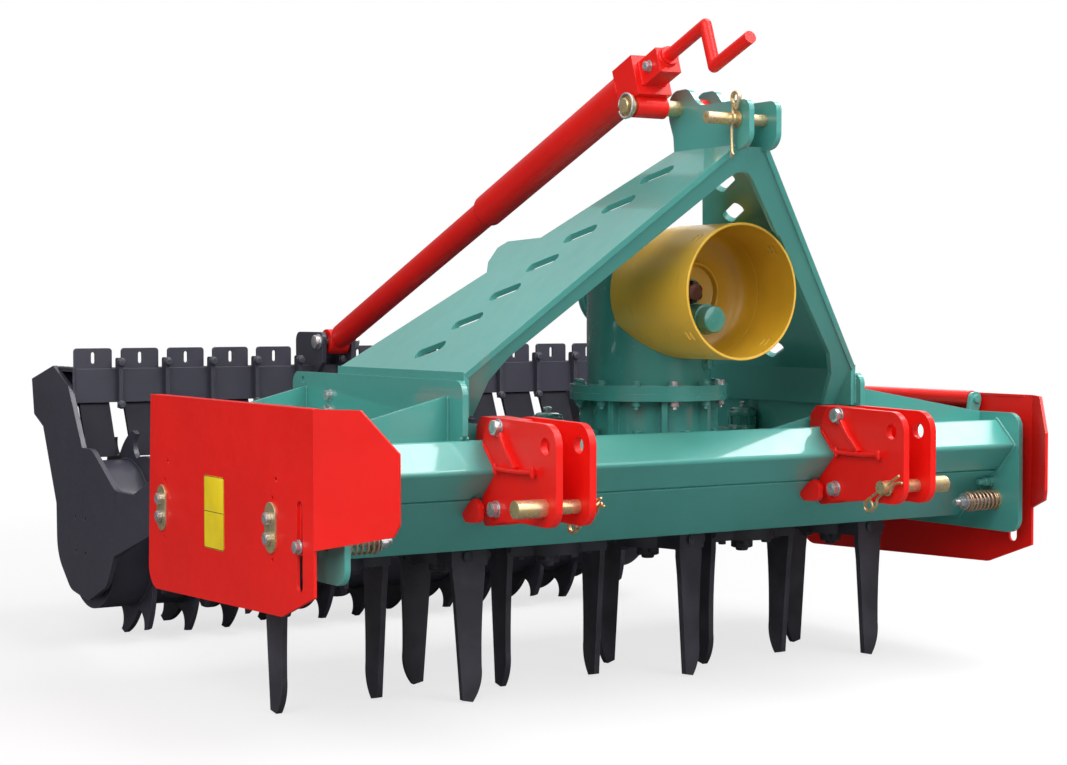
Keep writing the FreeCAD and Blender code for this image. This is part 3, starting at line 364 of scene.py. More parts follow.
    def flat(self, middle, out, up, outline, thick, chamfer=0.6):
        """Plate of a given outline that stands on a face, its top edge broken."""
        middle, out, up = Vector(middle), out.normalized(), up.normalized()
        side = up.cross(out)
        wide = max(abs(u) for u, v in outline)
        high = max(abs(v) for u, v in outline)
        su, sv = 1 - chamfer / wide, 1 - chamfer / high
        rows = []
        for d, a, b in ((0, 1, 1), (thick - chamfer, 1, 1), (thick, su, sv)):
            rows.append([middle + out * d + side * (u * a) + up * (v * b) for u, v in outline])
        self.skin(rows)

    def made(self, name, finish_name, body, slot=None):
        """Turns the parts into a piece of the harrow, which rides on a body."""
        bmesh.ops.recalc_face_normals(self.mesh, faces=self.mesh.faces)
        self.mesh.transform(Matrix.Translation(CORNER) @ Matrix.Scale(0.001, 4))
        mesh = bpy.data.meshes.new(name)
        self.mesh.to_mesh(mesh)
        self.mesh.free()
        mesh.materials.append(finish(finish_name))
        mesh.shade_smooth()
        mesh.set_sharp_from_angle(angle=SHARP_EDGE)
        piece = bpy.data.objects.new(name, mesh)
        bpy.context.scene.collection.objects.link(piece)
        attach(piece, body)
        return piece


# ---- finishes -----------------------------------------------------------------------------------
class Recipe:
    """Node tree of one finish, mixed by short calls."""

    def __init__(self, name):
        self.material = bpy.data.materials.new(name)
        self.material.use_nodes = True
        self.tree = self.material.node_tree
        self.shader = self.tree.nodes["Principled BSDF"]
        self.place = self.node("ShaderNodeTexCoord").outputs["Object"]

    def node(self, kind, inputs=(), **settings):
        """New node with its settings and inputs."""
        made = self.tree.nodes.new(kind)
        for key, value in settings.items():
            setattr(made, key, value)
        self.feed(made, dict(inputs))
        return made

    def feed(self, node, inputs):
        """Links sockets to a node's inputs, or sets their values."""
        for key, value in inputs.items():
            if isinstance(value, bpy.types.NodeSocket):
                self.tree.links.new(value, node.inputs[key])
            else:
                node.inputs[key].default_value = value

    def noise(self, scale, detail=3.0, stretch=None):
        """Noise in metres of the object, drawn out along an axis where it is asked for."""
        place = self.place
        if stretch:
            place = self.node("ShaderNodeMapping", {"Vector": place, "Scale": stretch}).outputs[0]
        return self.node("ShaderNodeTexNoise", {"Vector": place, "Scale": scale, "Detail": detail}).outputs["Fac"]

    def ranged(self, value, low, high, start, end):
        """A value that runs from low to high, made to run from start to end."""
        return self.node("ShaderNodeMapRange", {0: value, 1: low, 2: high, 3: start, 4: end}).outputs[0]

    def drifting(self, scale, start, end, detail=3.0, low=0.3, high=0.7):
        """Noise whose middle part is made to run from start to end."""
        return self.ranged(self.noise(scale, detail), low, high, start, end)

    def clouded(self, scale, first, second, detail=3.0, low=0.3, high=0.7):
        """Two colours in clouds."""
        return self.blended(self.drifting(scale, 0.0, 1.0, detail, low, high), first, second)

    def times(self, a, b):
        """Product of two values."""
        return self.node("ShaderNodeMath", {0: a, 1: b}, operation="MULTIPLY").outputs[0]

    def blended(self, share, first, second):
        """Colour between two others."""
        mixed = self.node("ShaderNodeMix", {0: share}, data_type="RGBA")
        for socket, value in ((mixed.inputs[6], first), (mixed.inputs[7], second)):
            if isinstance(value, bpy.types.NodeSocket):
                self.tree.links.new(value, socket)
            else:
                socket.default_value = (*value, 1)
        return mixed.outputs[2]

    def bumped(self, height, strength, distance, normal=None):
        """Normal of a rough surface, on top of another normal where there is one."""
        inputs = {"Height": height, "Strength": strength, "Distance": distance}
        if normal is not None:
            inputs["Normal"] = normal
        return self.node("ShaderNodeBump", inputs).outputs[0]

    def softened(self, radius):
        """Normal that rounds the edges of plates, and a mask of those edges."""
        normal = self.node("ShaderNodeBevel", {"Radius": radius}, samples=6).outputs[0]
        flat = self.node("ShaderNodeNewGeometry").outputs["Normal"]
        match = self.node("ShaderNodeVectorMath", {0: normal, 1: flat}, operation="DOT_PRODUCT").outputs["Value"]
        return normal, self.ranged(match, 0.995, 0.80, 0.0, 1.0)

    def done(self, **inputs):
        """Sets or links the shader's sockets, named with low lines for spaces."""
        self.feed(self.shader, {key.replace("_", " "): value for key, value in inputs.items()})
        return self.material


def shade(base, factor):
    """Darker or brighter colour."""
    return tuple(min(1.0, c * factor) for c in base)


def toward(base, other, share):
    """Colour part of the way to another."""
    return tuple(a + (b - a) * share for a, b in zip(base, other))


def paint(name, base, rough, peel=0.03, waves=0.03, coat=0.8, edge=0.35, cast=0.0, shine=0.5):
    """Sprayed gloss paint: cloudy colour, orange peel, slow waves of the sheet, and edges paled partly as thin paint
    and partly as a painted highlight of the sky.
    """
    mix = Recipe(name)
    normal, edges = mix.softened(0.0016)
    body = mix.clouded(5.0, shade(base, 0.93), shade(base, 1.07), 4.0)
    # edges turn paler towards a sky tint: partly paint worn thin, partly a painted highlight
    worn_and_sky_lit_edges = mix.times(edges, mix.drifting(60.0, 0.2, 1.0, low=0.35, high=0.6))
    body = mix.blended(mix.times(worn_and_sky_lit_edges, edge), body, toward(base, (0.75, 0.9, 0.88), 0.45))
    specks = mix.drifting(300.0, 0.0, 0.12, 2.0, 0.70, 0.76)
    body = mix.blended(specks, body, shade(base, 0.7))
    normal = mix.bumped(mix.noise(7.0, 1.0), waves, 0.004, normal)
    normal = mix.bumped(mix.noise(520.0, 2.0), peel, 0.0006, normal)
    if cast:
        normal = mix.bumped(mix.noise(120.0, 5.0), cast, 0.0012, normal)
    return mix.done(Base_Color=body, Roughness=mix.drifting(30.0, rough - 0.05, rough + 0.07), Normal=normal,
                    Specular_IOR_Level=shine, Coat_Weight=coat, Coat_Roughness=0.05)


def plating(name, base, tint, rough):
    """Zinc plating with drifting colour and faint draw lines."""
    mix = Recipe(name)
    normal, _ = mix.softened(0.0006)
    drift = mix.clouded(45.0, base, tint, 4.0, 0.35, 0.65)
    drift = mix.blended(mix.drifting(190.0, 0.0, 0.55, low=0.55, high=0.75), drift, shade(base, 0.55))
    normal = mix.bumped(mix.noise(260.0, 4.0), 0.10, 0.0004, normal)
    return mix.done(Base_Color=drift, Metallic=0.7, Normal=normal,
                    Roughness=mix.drifting(90.0, rough - 0.08, rough + 0.12))


def bare_steel(name, base, tint, rough, metallic):
    """Dark steel with rubbed patches."""
    mix = Recipe(name)
    normal, edges = mix.softened(0.0012)
    rubbed = mix.clouded(14.0, base, tint, 5.0, 0.4)
    rubbed = mix.blended(mix.times(edges, 0.5), rubbed, shade(tint, 2.2))
    normal = mix.bumped(mix.noise(110.0, 5.0), 0.16, 0.0008, normal)
    return mix.done(Base_Color=rubbed, Metallic=metallic, Normal=normal,
                    Roughness=mix.drifting(25.0, rough - 0.08, rough + 0.1))


def guard_plastic(name, outside, inside):
    """Moulded plastic with a fine grain, its inner wall a darker brown as painted shade and its edges paler as a
    painted highlight.
    """
    mix = Recipe(name)
    normal, edges = mix.softened(0.0012)
    apart = mix.node("ShaderNodeSeparateXYZ", {0: mix.place})
    axis = CORNER.z + SHAFT_POINT.z
    rise = mix.node("ShaderNodeMath", {0: apart.outputs[2], 1: axis}, operation="SUBTRACT").outputs[0]
    reach = mix.node("ShaderNodeCombineXYZ", {0: apart.outputs[0], 2: rise})
    radius = mix.node("ShaderNodeVectorMath", {0: reach.outputs[0]}, operation="LENGTH").outputs["Value"]
    inner = mix.ranged(radius, 0.1095, 0.1105, 1.0, 0.0)       # the wall is 4 mm thick, from 109 to 113 mm
    skin = mix.clouded(9.0, shade(outside, 0.93), shade(outside, 1.06))
    # the inner wall gets a darker brown: painted shade
    shaded_lining = mix.clouded(7.0, shade(inside, 0.85), shade(inside, 1.15))
    body = mix.blended(inner, skin, shaded_lining)
    # edges paler: painted highlight
    body = mix.blended(mix.times(edges, 0.35), body, toward(outside, (0.95, 0.85, 0.5), 0.5))
    scuffs = mix.ranged(mix.noise(30.0, 6.0, (1, 4, 1)), 0.62, 0.72, 0.0, 0.3)
    body = mix.blended(scuffs, body, shade(outside, 0.7))
    normal = mix.bumped(mix.noise(700.0, 2.0), 0.08, 0.0004, normal)
    return mix.done(Base_Color=body, Normal=normal, Roughness=mix.drifting(12.0, 0.38, 0.5), Coat_Weight=0.15,
                    Coat_Roughness=0.25)


def film(name, base):
    """Printed film with a soft sheen."""
    mix = Recipe(name)
    body = mix.clouded(40.0, shade(base, 0.95), shade(base, 1.04))
    return mix.done(Base_Color=body, Roughness=0.35, Normal=mix.bumped(mix.noise(300.0), 0.04, 0.0003),
                    Coat_Weight=0.3, Coat_Roughness=0.15)


def finish(name):
    """Finish of a given name, mixed the first time that it is asked for."""
    found = bpy.data.materials.get("harrow_" + name)
    if found:
        return found
    hues = bpy.context.scene.harrow_colours
    teal, red, dark = tuple(hues.teal), tuple(hues.red), tuple(hues.anthracite)
    yellow, silver = tuple(hues.yellow_zinc), tuple(hues.silver_zinc)
    recipes = {
        "teal_paint": lambda n: paint(n, teal, 0.36),
        "teal_cast": lambda n: paint(n, shade(teal, 0.85), 0.22, peel=0.08, waves=0.0, cast=0.16),
        "red_paint": lambda n: paint(n, red, 0.38, coat=0.14, edge=0.10, shine=0.25),
        "anthracite_paint": lambda n: paint(n, dark, 0.40, peel=0.06, coat=0.15, edge=0.2),
        # darker, duller anthracite for the scrapers: painted shade
        "painted_shade_anthracite": lambda n: paint(n, shade(dark, 0.4), 0.6, peel=0.06, coat=0.0, edge=0.1, shine=0.12),
        "yellow_zinc": lambda n: plating(n, yellow, (0.62, 0.50, 0.32), 0.30),
        "silver_zinc": lambda n: plating(n, silver, (0.50, 0.52, 0.54), 0.25),
        "copper_zinc": lambda n: plating(n, tuple(hues.spring), (0.44, 0.30, 0.20), 0.30),
        "ochre_plastic": lambda n: guard_plastic(n, tuple(hues.ochre), tuple(hues.guard_inside_shade)),
        "black_steel": lambda n: bare_steel(n, tuple(hues.tine), shade(hues.tine, 1.7), 0.42, 0.0),
        "shaft_steel": lambda n: bare_steel(n, tuple(hues.shaft), shade(hues.shaft, 2.0), 0.42, 0.6),
        "label_yellow": lambda n: film(n, tuple(hues.label)),
        "label_black": lambda n: film(n, (0.02, 0.02, 0.02)),
    }
    return recipes[name]("harrow_" + name)


# nodes whose finish differs from the plain one of their slot; the scrapers' much darker anthracite is painted shade
# under the crossbar
FINER = {"gearbox_base": "teal_cast", "gearbox_case": "teal_cast", "scrapers": "painted_shade_anthracite"}


class HARROW_OT_finishes(bpy.types.Operator):
    """Gives every node of the frame the finish of its material slot"""

    bl_idname = "harrow.finishes"
    bl_label = "Finishes"

    def execute(self, context):
        slots = {part["node"]: part["material_slot"] for part in FRAME["record"]["subparts"]}
        for name, node in FRAME["nodes"].items():
            material = finish(FINER.get(name, slots[name]))
            node.data.materials.clear()
            node.data.materials.append(material)
        return {"FINISHED"}


# ---- hitch --------------------------------------------------------------------------------------
BRACKETS = ((-432.0, -360.0), (256.0, 328.0))           # left and right faces of each bracket
BRACKET_BOLTS = ((-11.0, 69.0), (-4.0, -59.0))
BRACKET_RIDGE = ((-24, 60), (-40, 38), (-55, 24), (-69, 9))


class HARROW_OT_bracket_bolts(bpy.types.Operator):
    """Bolts, nuts and washers that clamp the hitch brackets to the beam, and the ridge welded on each"""

    bl_idname = "harrow.bracket_bolts"
    bl_label = "Bracket bolts"

    def execute(self, context):
        flats = mm(context.scene.harrow_sizes.bracket_flats)
        bolts, welds = Workpiece(), Workpiece()
        for number, (left, right) in enumerate(BRACKETS):
            for k, (y, z) in enumerate(BRACKET_BOLTS):
                bolts.bolt((left, y, z), -RIGHT, flats, turn=0.4 + k + number * 0.5)
                bolts.nut((right, y, z), RIGHT, flats, turn=0.2 + k)
            welds.rib(curved([(left, y, z) for y, z in BRACKET_RIDGE]), -RIGHT, 10, 7)
            welds.rib([(left, -15, 6), (left, -50, 5), (left, -90, 5), (left, -124, 7)], -RIGHT, 12, 7.5)
            for y, z in ((-15, 6), (-124, 7)):
                welds.bead([(left - 9, y, z - 7), (left - 9, y, z + 7)], 3.6)
            for x in (left - 0.4, right + 0.4):
                welds.bead([(x, 2, 6), (x, 34, 40)], 2.6)
        bolts.made("bracket_bolts", "silver_zinc", "frame")
        welds.made("bracket_welds", "red_paint", "frame")
        return {"FINISHED"}


class HARROW_OT_hitch_pins(bpy.types.Operator):
    """Spring clips, collars and rings of the three hitch pins"""

    bl_idname = "harrow.hitch_pins"
    bl_label = "Hitch pins"

    def execute(self, context):
        wire = mm(context.scene.harrow_sizes.clip_wire)
        clips = Workpiece()
        for x, (y, z), legs, pin_radius, head, tip in ((243, LOWER_PIN, (-0.86, 0.51), 11, -52, 42),
                                                       (-347, LOWER_PIN, (-0.90, 0.44), 11, -66, 30),
                                                       (-93, TOP_PIN, (0.05, -1.0), 9.5, -32, 60)):
            bow = Vector((0, -abs(legs[1]), -abs(legs[0])))
            clips.clip((x, y, z), Vector((0, *legs)), bow, pin_radius, head, tip, wire)
        clips.made("hitch_clips", "yellow_zinc", "frame")
        collars = Workpiece()
        for x, out in ((BRACKETS[0][0], -1), (BRACKETS[1][1], 1)):
            end = (x + out * 51.4, *LOWER_PIN)
            collars.turned(end, RIGHT * out, [(-1.6, 13.9), (0.8, 12.2), (0.8, 4.0)], 32)
        collars.turned((-144.2, *TOP_PIN), -RIGHT, [(-1.5, 9.3), (0.9, 7.6), (0.9, 2.0)], 28)
        collars.ring((-84.4, *TOP_PIN), -RIGHT, 9.6, 13.5, 2.6, 28)
        collars.made("hitch_pin_collars", "yellow_zinc", "frame")
        return {"FINISHED"}


class HARROW_OT_headstock_fittings(bpy.types.Operator):
    """Bolts that hold the headstock's feet to the consoles, and its weld beads"""

    bl_idname = "harrow.headstock_fittings"
    bl_label = "Headstock fittings"

    def execute(self, context):
        bolts, welds = Workpiece(), Workpiece()
        for _, side in SIDES:
            outer = HEADSTOCK_MIDDLE + side * FOOT_HALF
            inner = outer - side * FOOT_T
            out = RIGHT * side
            for y, z, turn in ((511, 102, 0.2), (517, 75, 0.9)):
                bolts.bolt((outer, y, z), out, 17, turn)
                bolts.nut((inner, y, z), -out, 17, turn)
            welds.bead([(inner - side * 0.3, 56, 84), (inner - side * 0.3, 56, 139)], 3.2)
            for y in (87.0, 97.0, 603.0, 613.0):
                welds.bead([(outer + side, y, 26), (outer + side, y, 114)], 2.4)
                welds.bead([(outer + side * 3, y, 23), (side * 688, y, 23)], 2.4)
            for x in (outer + side * 0.5, inner - side * 0.5):
                welds.bead([(x, 45, 50.5), (x, 72, 23.5), (x, 100, 22.5)], 2.8)
                welds.bead([(x, 110, 22.5), (x, 300, 22.5)], 2.4)
                welds.bead([(x, 410, 22.5), (x, 640, 22.5)], 2.4)
        for x in (-74.0, -30.0):
            welds.bead([(x, -28, 505), (x, 4, 505)], 2.4)
        bolts.made("console_bolts", "silver_zinc", "frame")
        welds.made("headstock_welds", "teal_paint", "frame")
        return {"FINISHED"}


# ---- gearbox and input shaft --------------------------------------------------------------------
GEARBOX = (0.0, 197.0)
FOOT_TOP, FLANGE_LOW, FLANGE_TOP, COVER_TOP = 38.0, 97.0, 123.0, 362.0
SHAFT_Z = 282.0
GUARD_MOUTH = -68.0


def round_gearbox(radius, turn):
    """Place on a circle about the gearbox's upright axis."""
    return GEARBOX[0] + radius * math.cos(turn), GEARBOX[1] + radius * math.sin(turn)


class HARROW_OT_gearbox_fittings(bpy.types.Operator):
    """Flange, foot and cover bolts of the gearbox, its breather, plugs, cast shoulder and bosses"""

    bl_idname = "harrow.gearbox_fittings"
    bl_label = "Gearbox fittings"

    def execute(self, context):
        flats = mm(context.scene.harrow_sizes.flange_flats)
        painted, bright, ribs = Workpiece(), Workpiece(), Workpiece()
        for k in range(12):
            x, y = round_gearbox(126, math.radians(15 + 30 * k))
            work = bright if k in (8, 10) else painted
            work.bolt((x, y, FLANGE_TOP), UP, flats, turn=0.5 * k)
            work.nut((x, y, FLANGE_LOW), -UP, flats, turn=0.3 * k, stud=0.3)
        for k in range(8):
            x, y = round_gearbox(113.5, math.radians(45 * k))
            painted.bolt((x, y, FOOT_TOP), UP, flats, turn=0.4 * k)
        for k in range(6):
            turn = math.radians(30 + 60 * k)
            spot = (50 * math.cos(turn), 330, SHAFT_Z + 50 * math.sin(turn))
            painted.bolt(spot, REAR, flats * 0.9, turn=0.3 * k)
        for k in range(6):
            x, y = round_gearbox(64, math.radians(60 * k))
            painted.bolt((x, y, COVER_TOP), UP, flats * 0.9, turn=0.6 * k)
        shoulder = [(-20, 109.6), (-8, 108), (2, 103.5), (9, 96), (14, 86), (17, 76), (17.6, 66)]
        ribs.turned((*GEARBOX, COVER_TOP - 17), UP, shoulder, 72)
        ribs.turned((*GEARBOX, COVER_TOP), UP, [(0, 50), (3.5, 50), (5, 48), (5, 40)], 48)
        ribs.turned((6, 44, SHAFT_Z - 46), -REAR, [(0, 23), (28, 23), (30.5, 21.5), (31.5, 18), (31.5, 6)], 40)
        ribs.turned((0, 304, SHAFT_Z), REAR, [(0, 66), (14, 66), (17, 64), (17, 60)], 48)
        painted.hexed((-58, 176, COVER_TOP - 1), UP, 9, 19, 0.2)
        breather = [(0, 7), (8, 7), (8, 10), (10, 11), (18, 11), (20.5, 9), (21, 4)]
        bright.turned((30, 220, COVER_TOP + 4), UP, breather, 28)
        painted.hexed((30, 220, COVER_TOP - 1), UP, 8, 19, 0.4)
        way = Vector((math.cos(math.radians(-62)), math.sin(math.radians(-62)), 0))
        painted.bolt(Vector((*GEARBOX, 160)) + way * 108.5, way, 20, 0.3)
        painted.bolt(Vector((*GEARBOX, 67)) + way * 103.5, way, 18, 0.1)
        painted.made("gearbox_painted_bolts", "teal_cast", "frame", slot="teal_paint")
        bright.made("gearbox_bright_fittings", "silver_zinc", "frame")
        ribs.made("gearbox_ribs", "teal_cast", "frame", slot="teal_paint")
        return {"FINISHED"}


class HARROW_OT_input_shaft(bpy.types.Operator):
    """Splined input shaft with its locking groove, in place of the plain one, and the guard's rim and bowl"""

    bl_idname = "harrow.input_shaft"
    bl_label = "Input shaft"

    def execute(self, context):
        count = context.scene.harrow_sizes.splines
        shaft, each = Workpiece(), 12            # points round each spline
        rows = []
        for y, outer, root in ((60, 14.0, 13.6), (62.5, 17.4, 14.4), (70, 17.4, 14.4), (72, 14.6, 14.2),
                               (77, 14.6, 14.2), (79, 17.4, 14.4), (96, 17.4, 14.4), (104, 17.4, 17.0)):
            ring = []
            for k in range(count * each):
                radius = outer if 0.24 < (k % each) / each < 0.76 else root
                turn = 2 * math.pi * k / (count * each)
                ring.append((radius * math.cos(turn), y, SHAFT_Z + radius * math.sin(turn)))
            rows.append(ring)
        shaft.skin(rows)
        shaft.turned((0, 96, SHAFT_Z), REAR, [(0, 17.2), (1.5, 19.4), (59, 19.4), (60, 18)], 36)
        piece = shaft.made("splined_shaft", "shaft_steel", "input_shaft")
        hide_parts("input_shaft")
        rim = Workpiece()
        lip = [(0, 108.9), (-0.5, 109.6), (-0.5, 112.6), (0.4, 113.4), (2.6, 113.4), (3.2, 112.8), (3.2, 108.9)]
        rim.turned((0, GUARD_MOUTH - 0.4, SHAFT_Z), REAR, lip, 96, loop=True)
        rim.made("guard_rim", "ochre_plastic", "frame")
        bowl = Workpiece()
        front = [(30, 108.9), (46, 108.2), (57, 104.5), (65, 97), (69.5, 86), (71.5, 72), (72, 56), (70, 52.5),
                 (62, 51), (60.5, 49), (62, 47), (71, 45), (72.4, 40), (72.4, 22)]
        back = [(73.2, 22), (73.2, 40), (73.2, 72), (71, 88), (66, 99), (58, 106), (46, 109.1), (30, 109.1)]
        bowl.turned((0, 0, SHAFT_Z), REAR, front + back, 96, loop=True)
        bowl.made("guard_bowl", "ochre_plastic", "frame")
        return {"FINISHED"}


# ---- trough -------------------------------------------------------------------------------------
ROTOR_LINE = 355.0
LID_ROWS, LID_PITCH = (108.0, 646.0), 109.0
END_BOLT = (57.0, -70.0)
ROTORS = [(joint["name"][:7], mm(Vector(joint["pos_m"]) - CORNER)) for joint in JOINTS.values()
          if joint["name"].startswith("rotor_")]


class HARROW_OT_bearing_caps(bpy.types.Operator):
    """Castellated bearing caps on the trough lid with their T-shaped grease nipples"""

    bl_idname = "harrow.bearing_caps"
    bl_label = "Bearing caps"

    def execute(self, context):
        caps, nipples = Workpiece(), Workpiece()
        for number, (_, middle) in enumerate(ROTORS):
            base = Vector((middle.x, ROTOR_LINE, LID_TOP))
            caps.turned(base, UP, [(0, 28), (10, 28), (12, 26.5), (12.5, 23.5), (28, 23.5), (28.5, 27), (30, 28),
                                   (37, 28), (38.5, 27), (39, 22.5), (43, 22), (45, 20), (46, 17), (46, 4)], 40)
            for k in range(8):
                turn = math.radians(45 * k + 9 * number)
                way = Vector((math.cos(turn), math.sin(turn), 0))
                caps.flat(base + UP * 20.5 + way * 23, way, UP, rounded(7.5, 17, 1.5, 3), 4.2, 0.8)
                if k % 2:
                    caps.bolt(base + UP * 38.8 + way * 22.4, UP, 7.5, washer=False)
            nipple = [(0, 5.5), (2.5, 5.5), (2.6, 3.4), (8, 3.4), (8.2, 4.6), (11, 4.6), (12, 3.0)]
            nipples.turned(base + UP * 45, UP, nipple, 20)
            tee = Vector((math.cos(0.5 + number), math.sin(0.5 + number), 0))
            nipples.turned(base + UP * 53.5 - tee * 8, tee, [(0, 1.6), (0.8, 2.6), (15.2, 2.6), (16, 1.6)], 14)
        piece = caps.made("bearing_cap_crowns", "teal_cast", "frame", slot="teal_paint")
        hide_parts("bearing_caps")
        nipples.made("grease_nipples", "silver_zinc", "frame")
        return {"FINISHED"}


class HARROW_OT_trough_fittings(bpy.types.Operator):
    """Lid bolts, filler plug, end plate bolts and the weld beads along beam, trough and end plates"""

    bl_idname = "harrow.trough_fittings"
    bl_label = "Trough fittings"

    def execute(self, context):
        flats = mm(context.scene.harrow_sizes.lid_flats)
        bolts, welds = Workpiece(), Workpiece()
        consoles = [HEADSTOCK_MIDDLE + side * (FOOT_HALF - FOOT_T / 2) for _, side in SIDES]
        for row in LID_ROWS:
            for k in range(13):
                x = LID_PITCH * (k - 6)
                near_gearbox = row == LID_ROWS[0] and abs(k - 6) < 2
                near_console = min(abs(x - console) for console in consoles) < 22
                if not near_gearbox and not near_console:
                    bolts.bolt((x, row, LID_TOP), UP, flats, turn=0.7 * k)
        bolts.hexed((-212, 250, 21), UP, 12, 24, 0.3)
        bolts.turned((-212, 250, 32), UP, [(0, 8), (3, 8), (4, 7)], 20)
        for k in range(14):
            x = -684 + 100 * k
            welds.bead([(x, 50, -49.5), (x + 62, 50, -49.5)], 2.6)
        for _, side in SIDES:
            x = side * (END_INNER + 0.5)
            welds.bead([(x, 44, -51), (x, 3, -7), (x, -1.5, 0), (x, 3, 7), (x, 45, 49), (x, 73, 24)], 3.4)
            welds.bead([(x, 55, -56), (x, 142, -142), (x, 564, -142.5), (x, 656, -51), (x, 661, 20)], 3.0)
        welds.made("trough_welds", "teal_paint", "frame")
        bolts.made("lid_bolts", "teal_cast", "frame", slot="teal_paint")
        plugs = Workpiece()
        for _, side in SIDES:
            out = -RIGHT * side
            plugs.bolt((side * END_INNER, *END_BOLT), out, 17, 0.5)
            stop = [(0, 6), (4, 6), (5, 8.6), (14, 8.6), (15, 6), (26, 6), (30, 5)]
            plugs.turned((side * (END_INNER - 7), *END_BOLT), out, stop, 20)
            plugs.nut((side * END_OUTER, *END_BOLT), RIGHT * side, 17, 0.2, stud=0.2)
            plugs.bolt((side * END_OUTER, *PIVOT), RIGHT * side, 25, 0.2)
        plugs.made("end_plate_bolts", "teal_cast", "frame", slot="teal_paint")
        return {"FINISHED"}


# ---- side plates --------------------------------------------------------------------------------
# middle of each strap, and its two bolts
STRAPS = (((602.0, -90.0), ((603.0, -74.0), (603.0, -105.0))), ((151.0, -84.0), ((154.0, -70.0), (154.0, -101.0))))
SPRING_BOLT = (50.0, -104.0)
SPRING_END, BOLT_END = 613.6, 592.0
HINGE_STRAPS = (163.0, 608.0)
LABEL_Y, LABEL_Z = 376.0, -80.0


class HARROW_OT_side_plate_fittings(bpy.types.Operator):
    """Zinc straps with two bolts each on the side plates, their nuts, hinge welds and blank labels"""

    bl_idname = "harrow.side_plate_fittings"
    bl_label = "Side plate fittings"

    def execute(self, context):
        flats = mm(context.scene.harrow_sizes.strap_flats)
        for name, side in SIDES:
            out, drop = RIGHT * side, RIGHT_DROP if side > 0 else 0.0
            body = "side_plate_" + name
            straps, bolts, welds, label, rule = (Workpiece() for _ in range(5))
            for (y, z), spots in STRAPS:
                straps.flat((side * SIDE_FACE, y, z - drop), out, UP, rounded(40, 80, 19.9, 8), 3.4, 0.8)
                for k, (by, bz) in enumerate(spots):
                    bolts.bolt((side * (SIDE_FACE + 3.2), by, bz - drop), out, flats, turn=0.3 + k, washer=False)
                    bolts.nut((side * (SIDE_INNER - 8), by, bz - drop), -out, flats * 0.9, turn=0.3 + k, stud=0.2)
            for y in HINGE_STRAPS:
                welds.bead([(side * 724, y - 20, 69), (side * 724, y + 20, 69)], 3.2)
                for edge in (y - 20.5, y + 20.5):
                    welds.bead([(side * 737.6, edge, -135), (side * 737.6, edge, 84)], 2.4)
            for y in (39.0, 61.0):
                welds.flat((side * SIDE_INNER, y, -77 - drop), -out, UP, rounded(8, 84, 1, 2), 6.0, 0.4)
            low, face = LABEL_Z - drop, side * (SIDE_FACE + 0.25)
            label.flat((side * SIDE_FACE, LABEL_Y, low), out, UP, rounded(82, 120, 5), 0.5, 0.2)
            for z in (low + 59.0, low + 1.0, low - 59.0):
                rule.flat((face, LABEL_Y, z), out, UP, rounded(80, 1.1, 0.5), 0.35, 0.1)
            for y in (LABEL_Y - 40.0, LABEL_Y + 40.0):
                rule.flat((face, y, low), out, UP, rounded(1.1, 118, 0.5), 0.35, 0.1)
            straps.made("side_straps_" + name, "yellow_zinc", body)
            bolts.made("side_strap_bolts_" + name, "silver_zinc", body)
            welds.made("side_hinge_welds_" + name, "red_paint", body)
            label.made("blank_label_" + name, "label_yellow", body, slot="yellow_zinc")
            rule.made("label_rules_" + name, "label_black", body, slot="black_steel")
        return {"FINISHED"}


class HARROW_OT_spring_bolts(bpy.types.Operator):
    """Springs that hold the side plates in, with the bolts' heads, nuts and threads"""

    bl_idname = "harrow.spring_bolts"
    bl_label = "Spring bolts"

    def execute(self, context):
        sizes = context.scene.harrow_sizes
        y, z = SPRING_BOLT
        for name, side in SIDES:
            out = RIGHT * side
            heads = Workpiece()
            heads.turned((side * BOLT_END, y, z), out, [(0, 5.4), (1, 6), (152, 6), (153, 5)], 24)
            heads.turned((side * (SIDE_FACE + 0.4), y, z), out, [(0, 11.4), (1.8, 11.4), (2.2, 10.8), (2.2, 5)], 32)
            heads.hexed((side * (SIDE_FACE + 2.4), y, z), out, 7.6, 17, 0.3)
            heads.hexed((side * 598, y, z), out, 12.4, 19, 0.2, both=True)
            heads.ring((side * (SPRING_END - 3.2), y, z), out, 8, 15.5, 3.0)
            heads.thread((side * 614, y, z), -out, 24, 6.3)
            piece = heads.made("spring_bolt_fittings_" + name, "silver_zinc", "spring_bolt_" + name)
            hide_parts("spring_bolt_" + name)
            washer = Workpiece()
            washer.ring((side * END_INNER, y, z), -out, 10, 19, 3.0)
            washer.made("spring_seat_" + name, "yellow_zinc", "frame")
            spring, foot = Workpiece(), END_INNER - 3.0
            reach = foot - SPRING_END
            spring.coil((side * foot, y, z), -out, reach, mm(sizes.spring_width), mm(sizes.spring_wire),
                        sizes.spring_turns)
            piece = spring.made("spring_" + name, "copper_zinc", "frame", slot="yellow_zinc")
            slide = JOINTS["spring_bolt_%s_slide" % name]
            travel = mm(max(abs(end) for end in slide["range_m"]))
            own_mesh(piece)
        return {"FINISHED"}


# ---- spindle ------------------------------------------------------------------------------------
SPINDLE_PIN = Vector((-145.0, -5.0, 581.0))
SPINDLE_OFFSET = 50.0           # from the pin up to the spindle's axis
CLEVIS_PIN = (1280.0, 184.0)


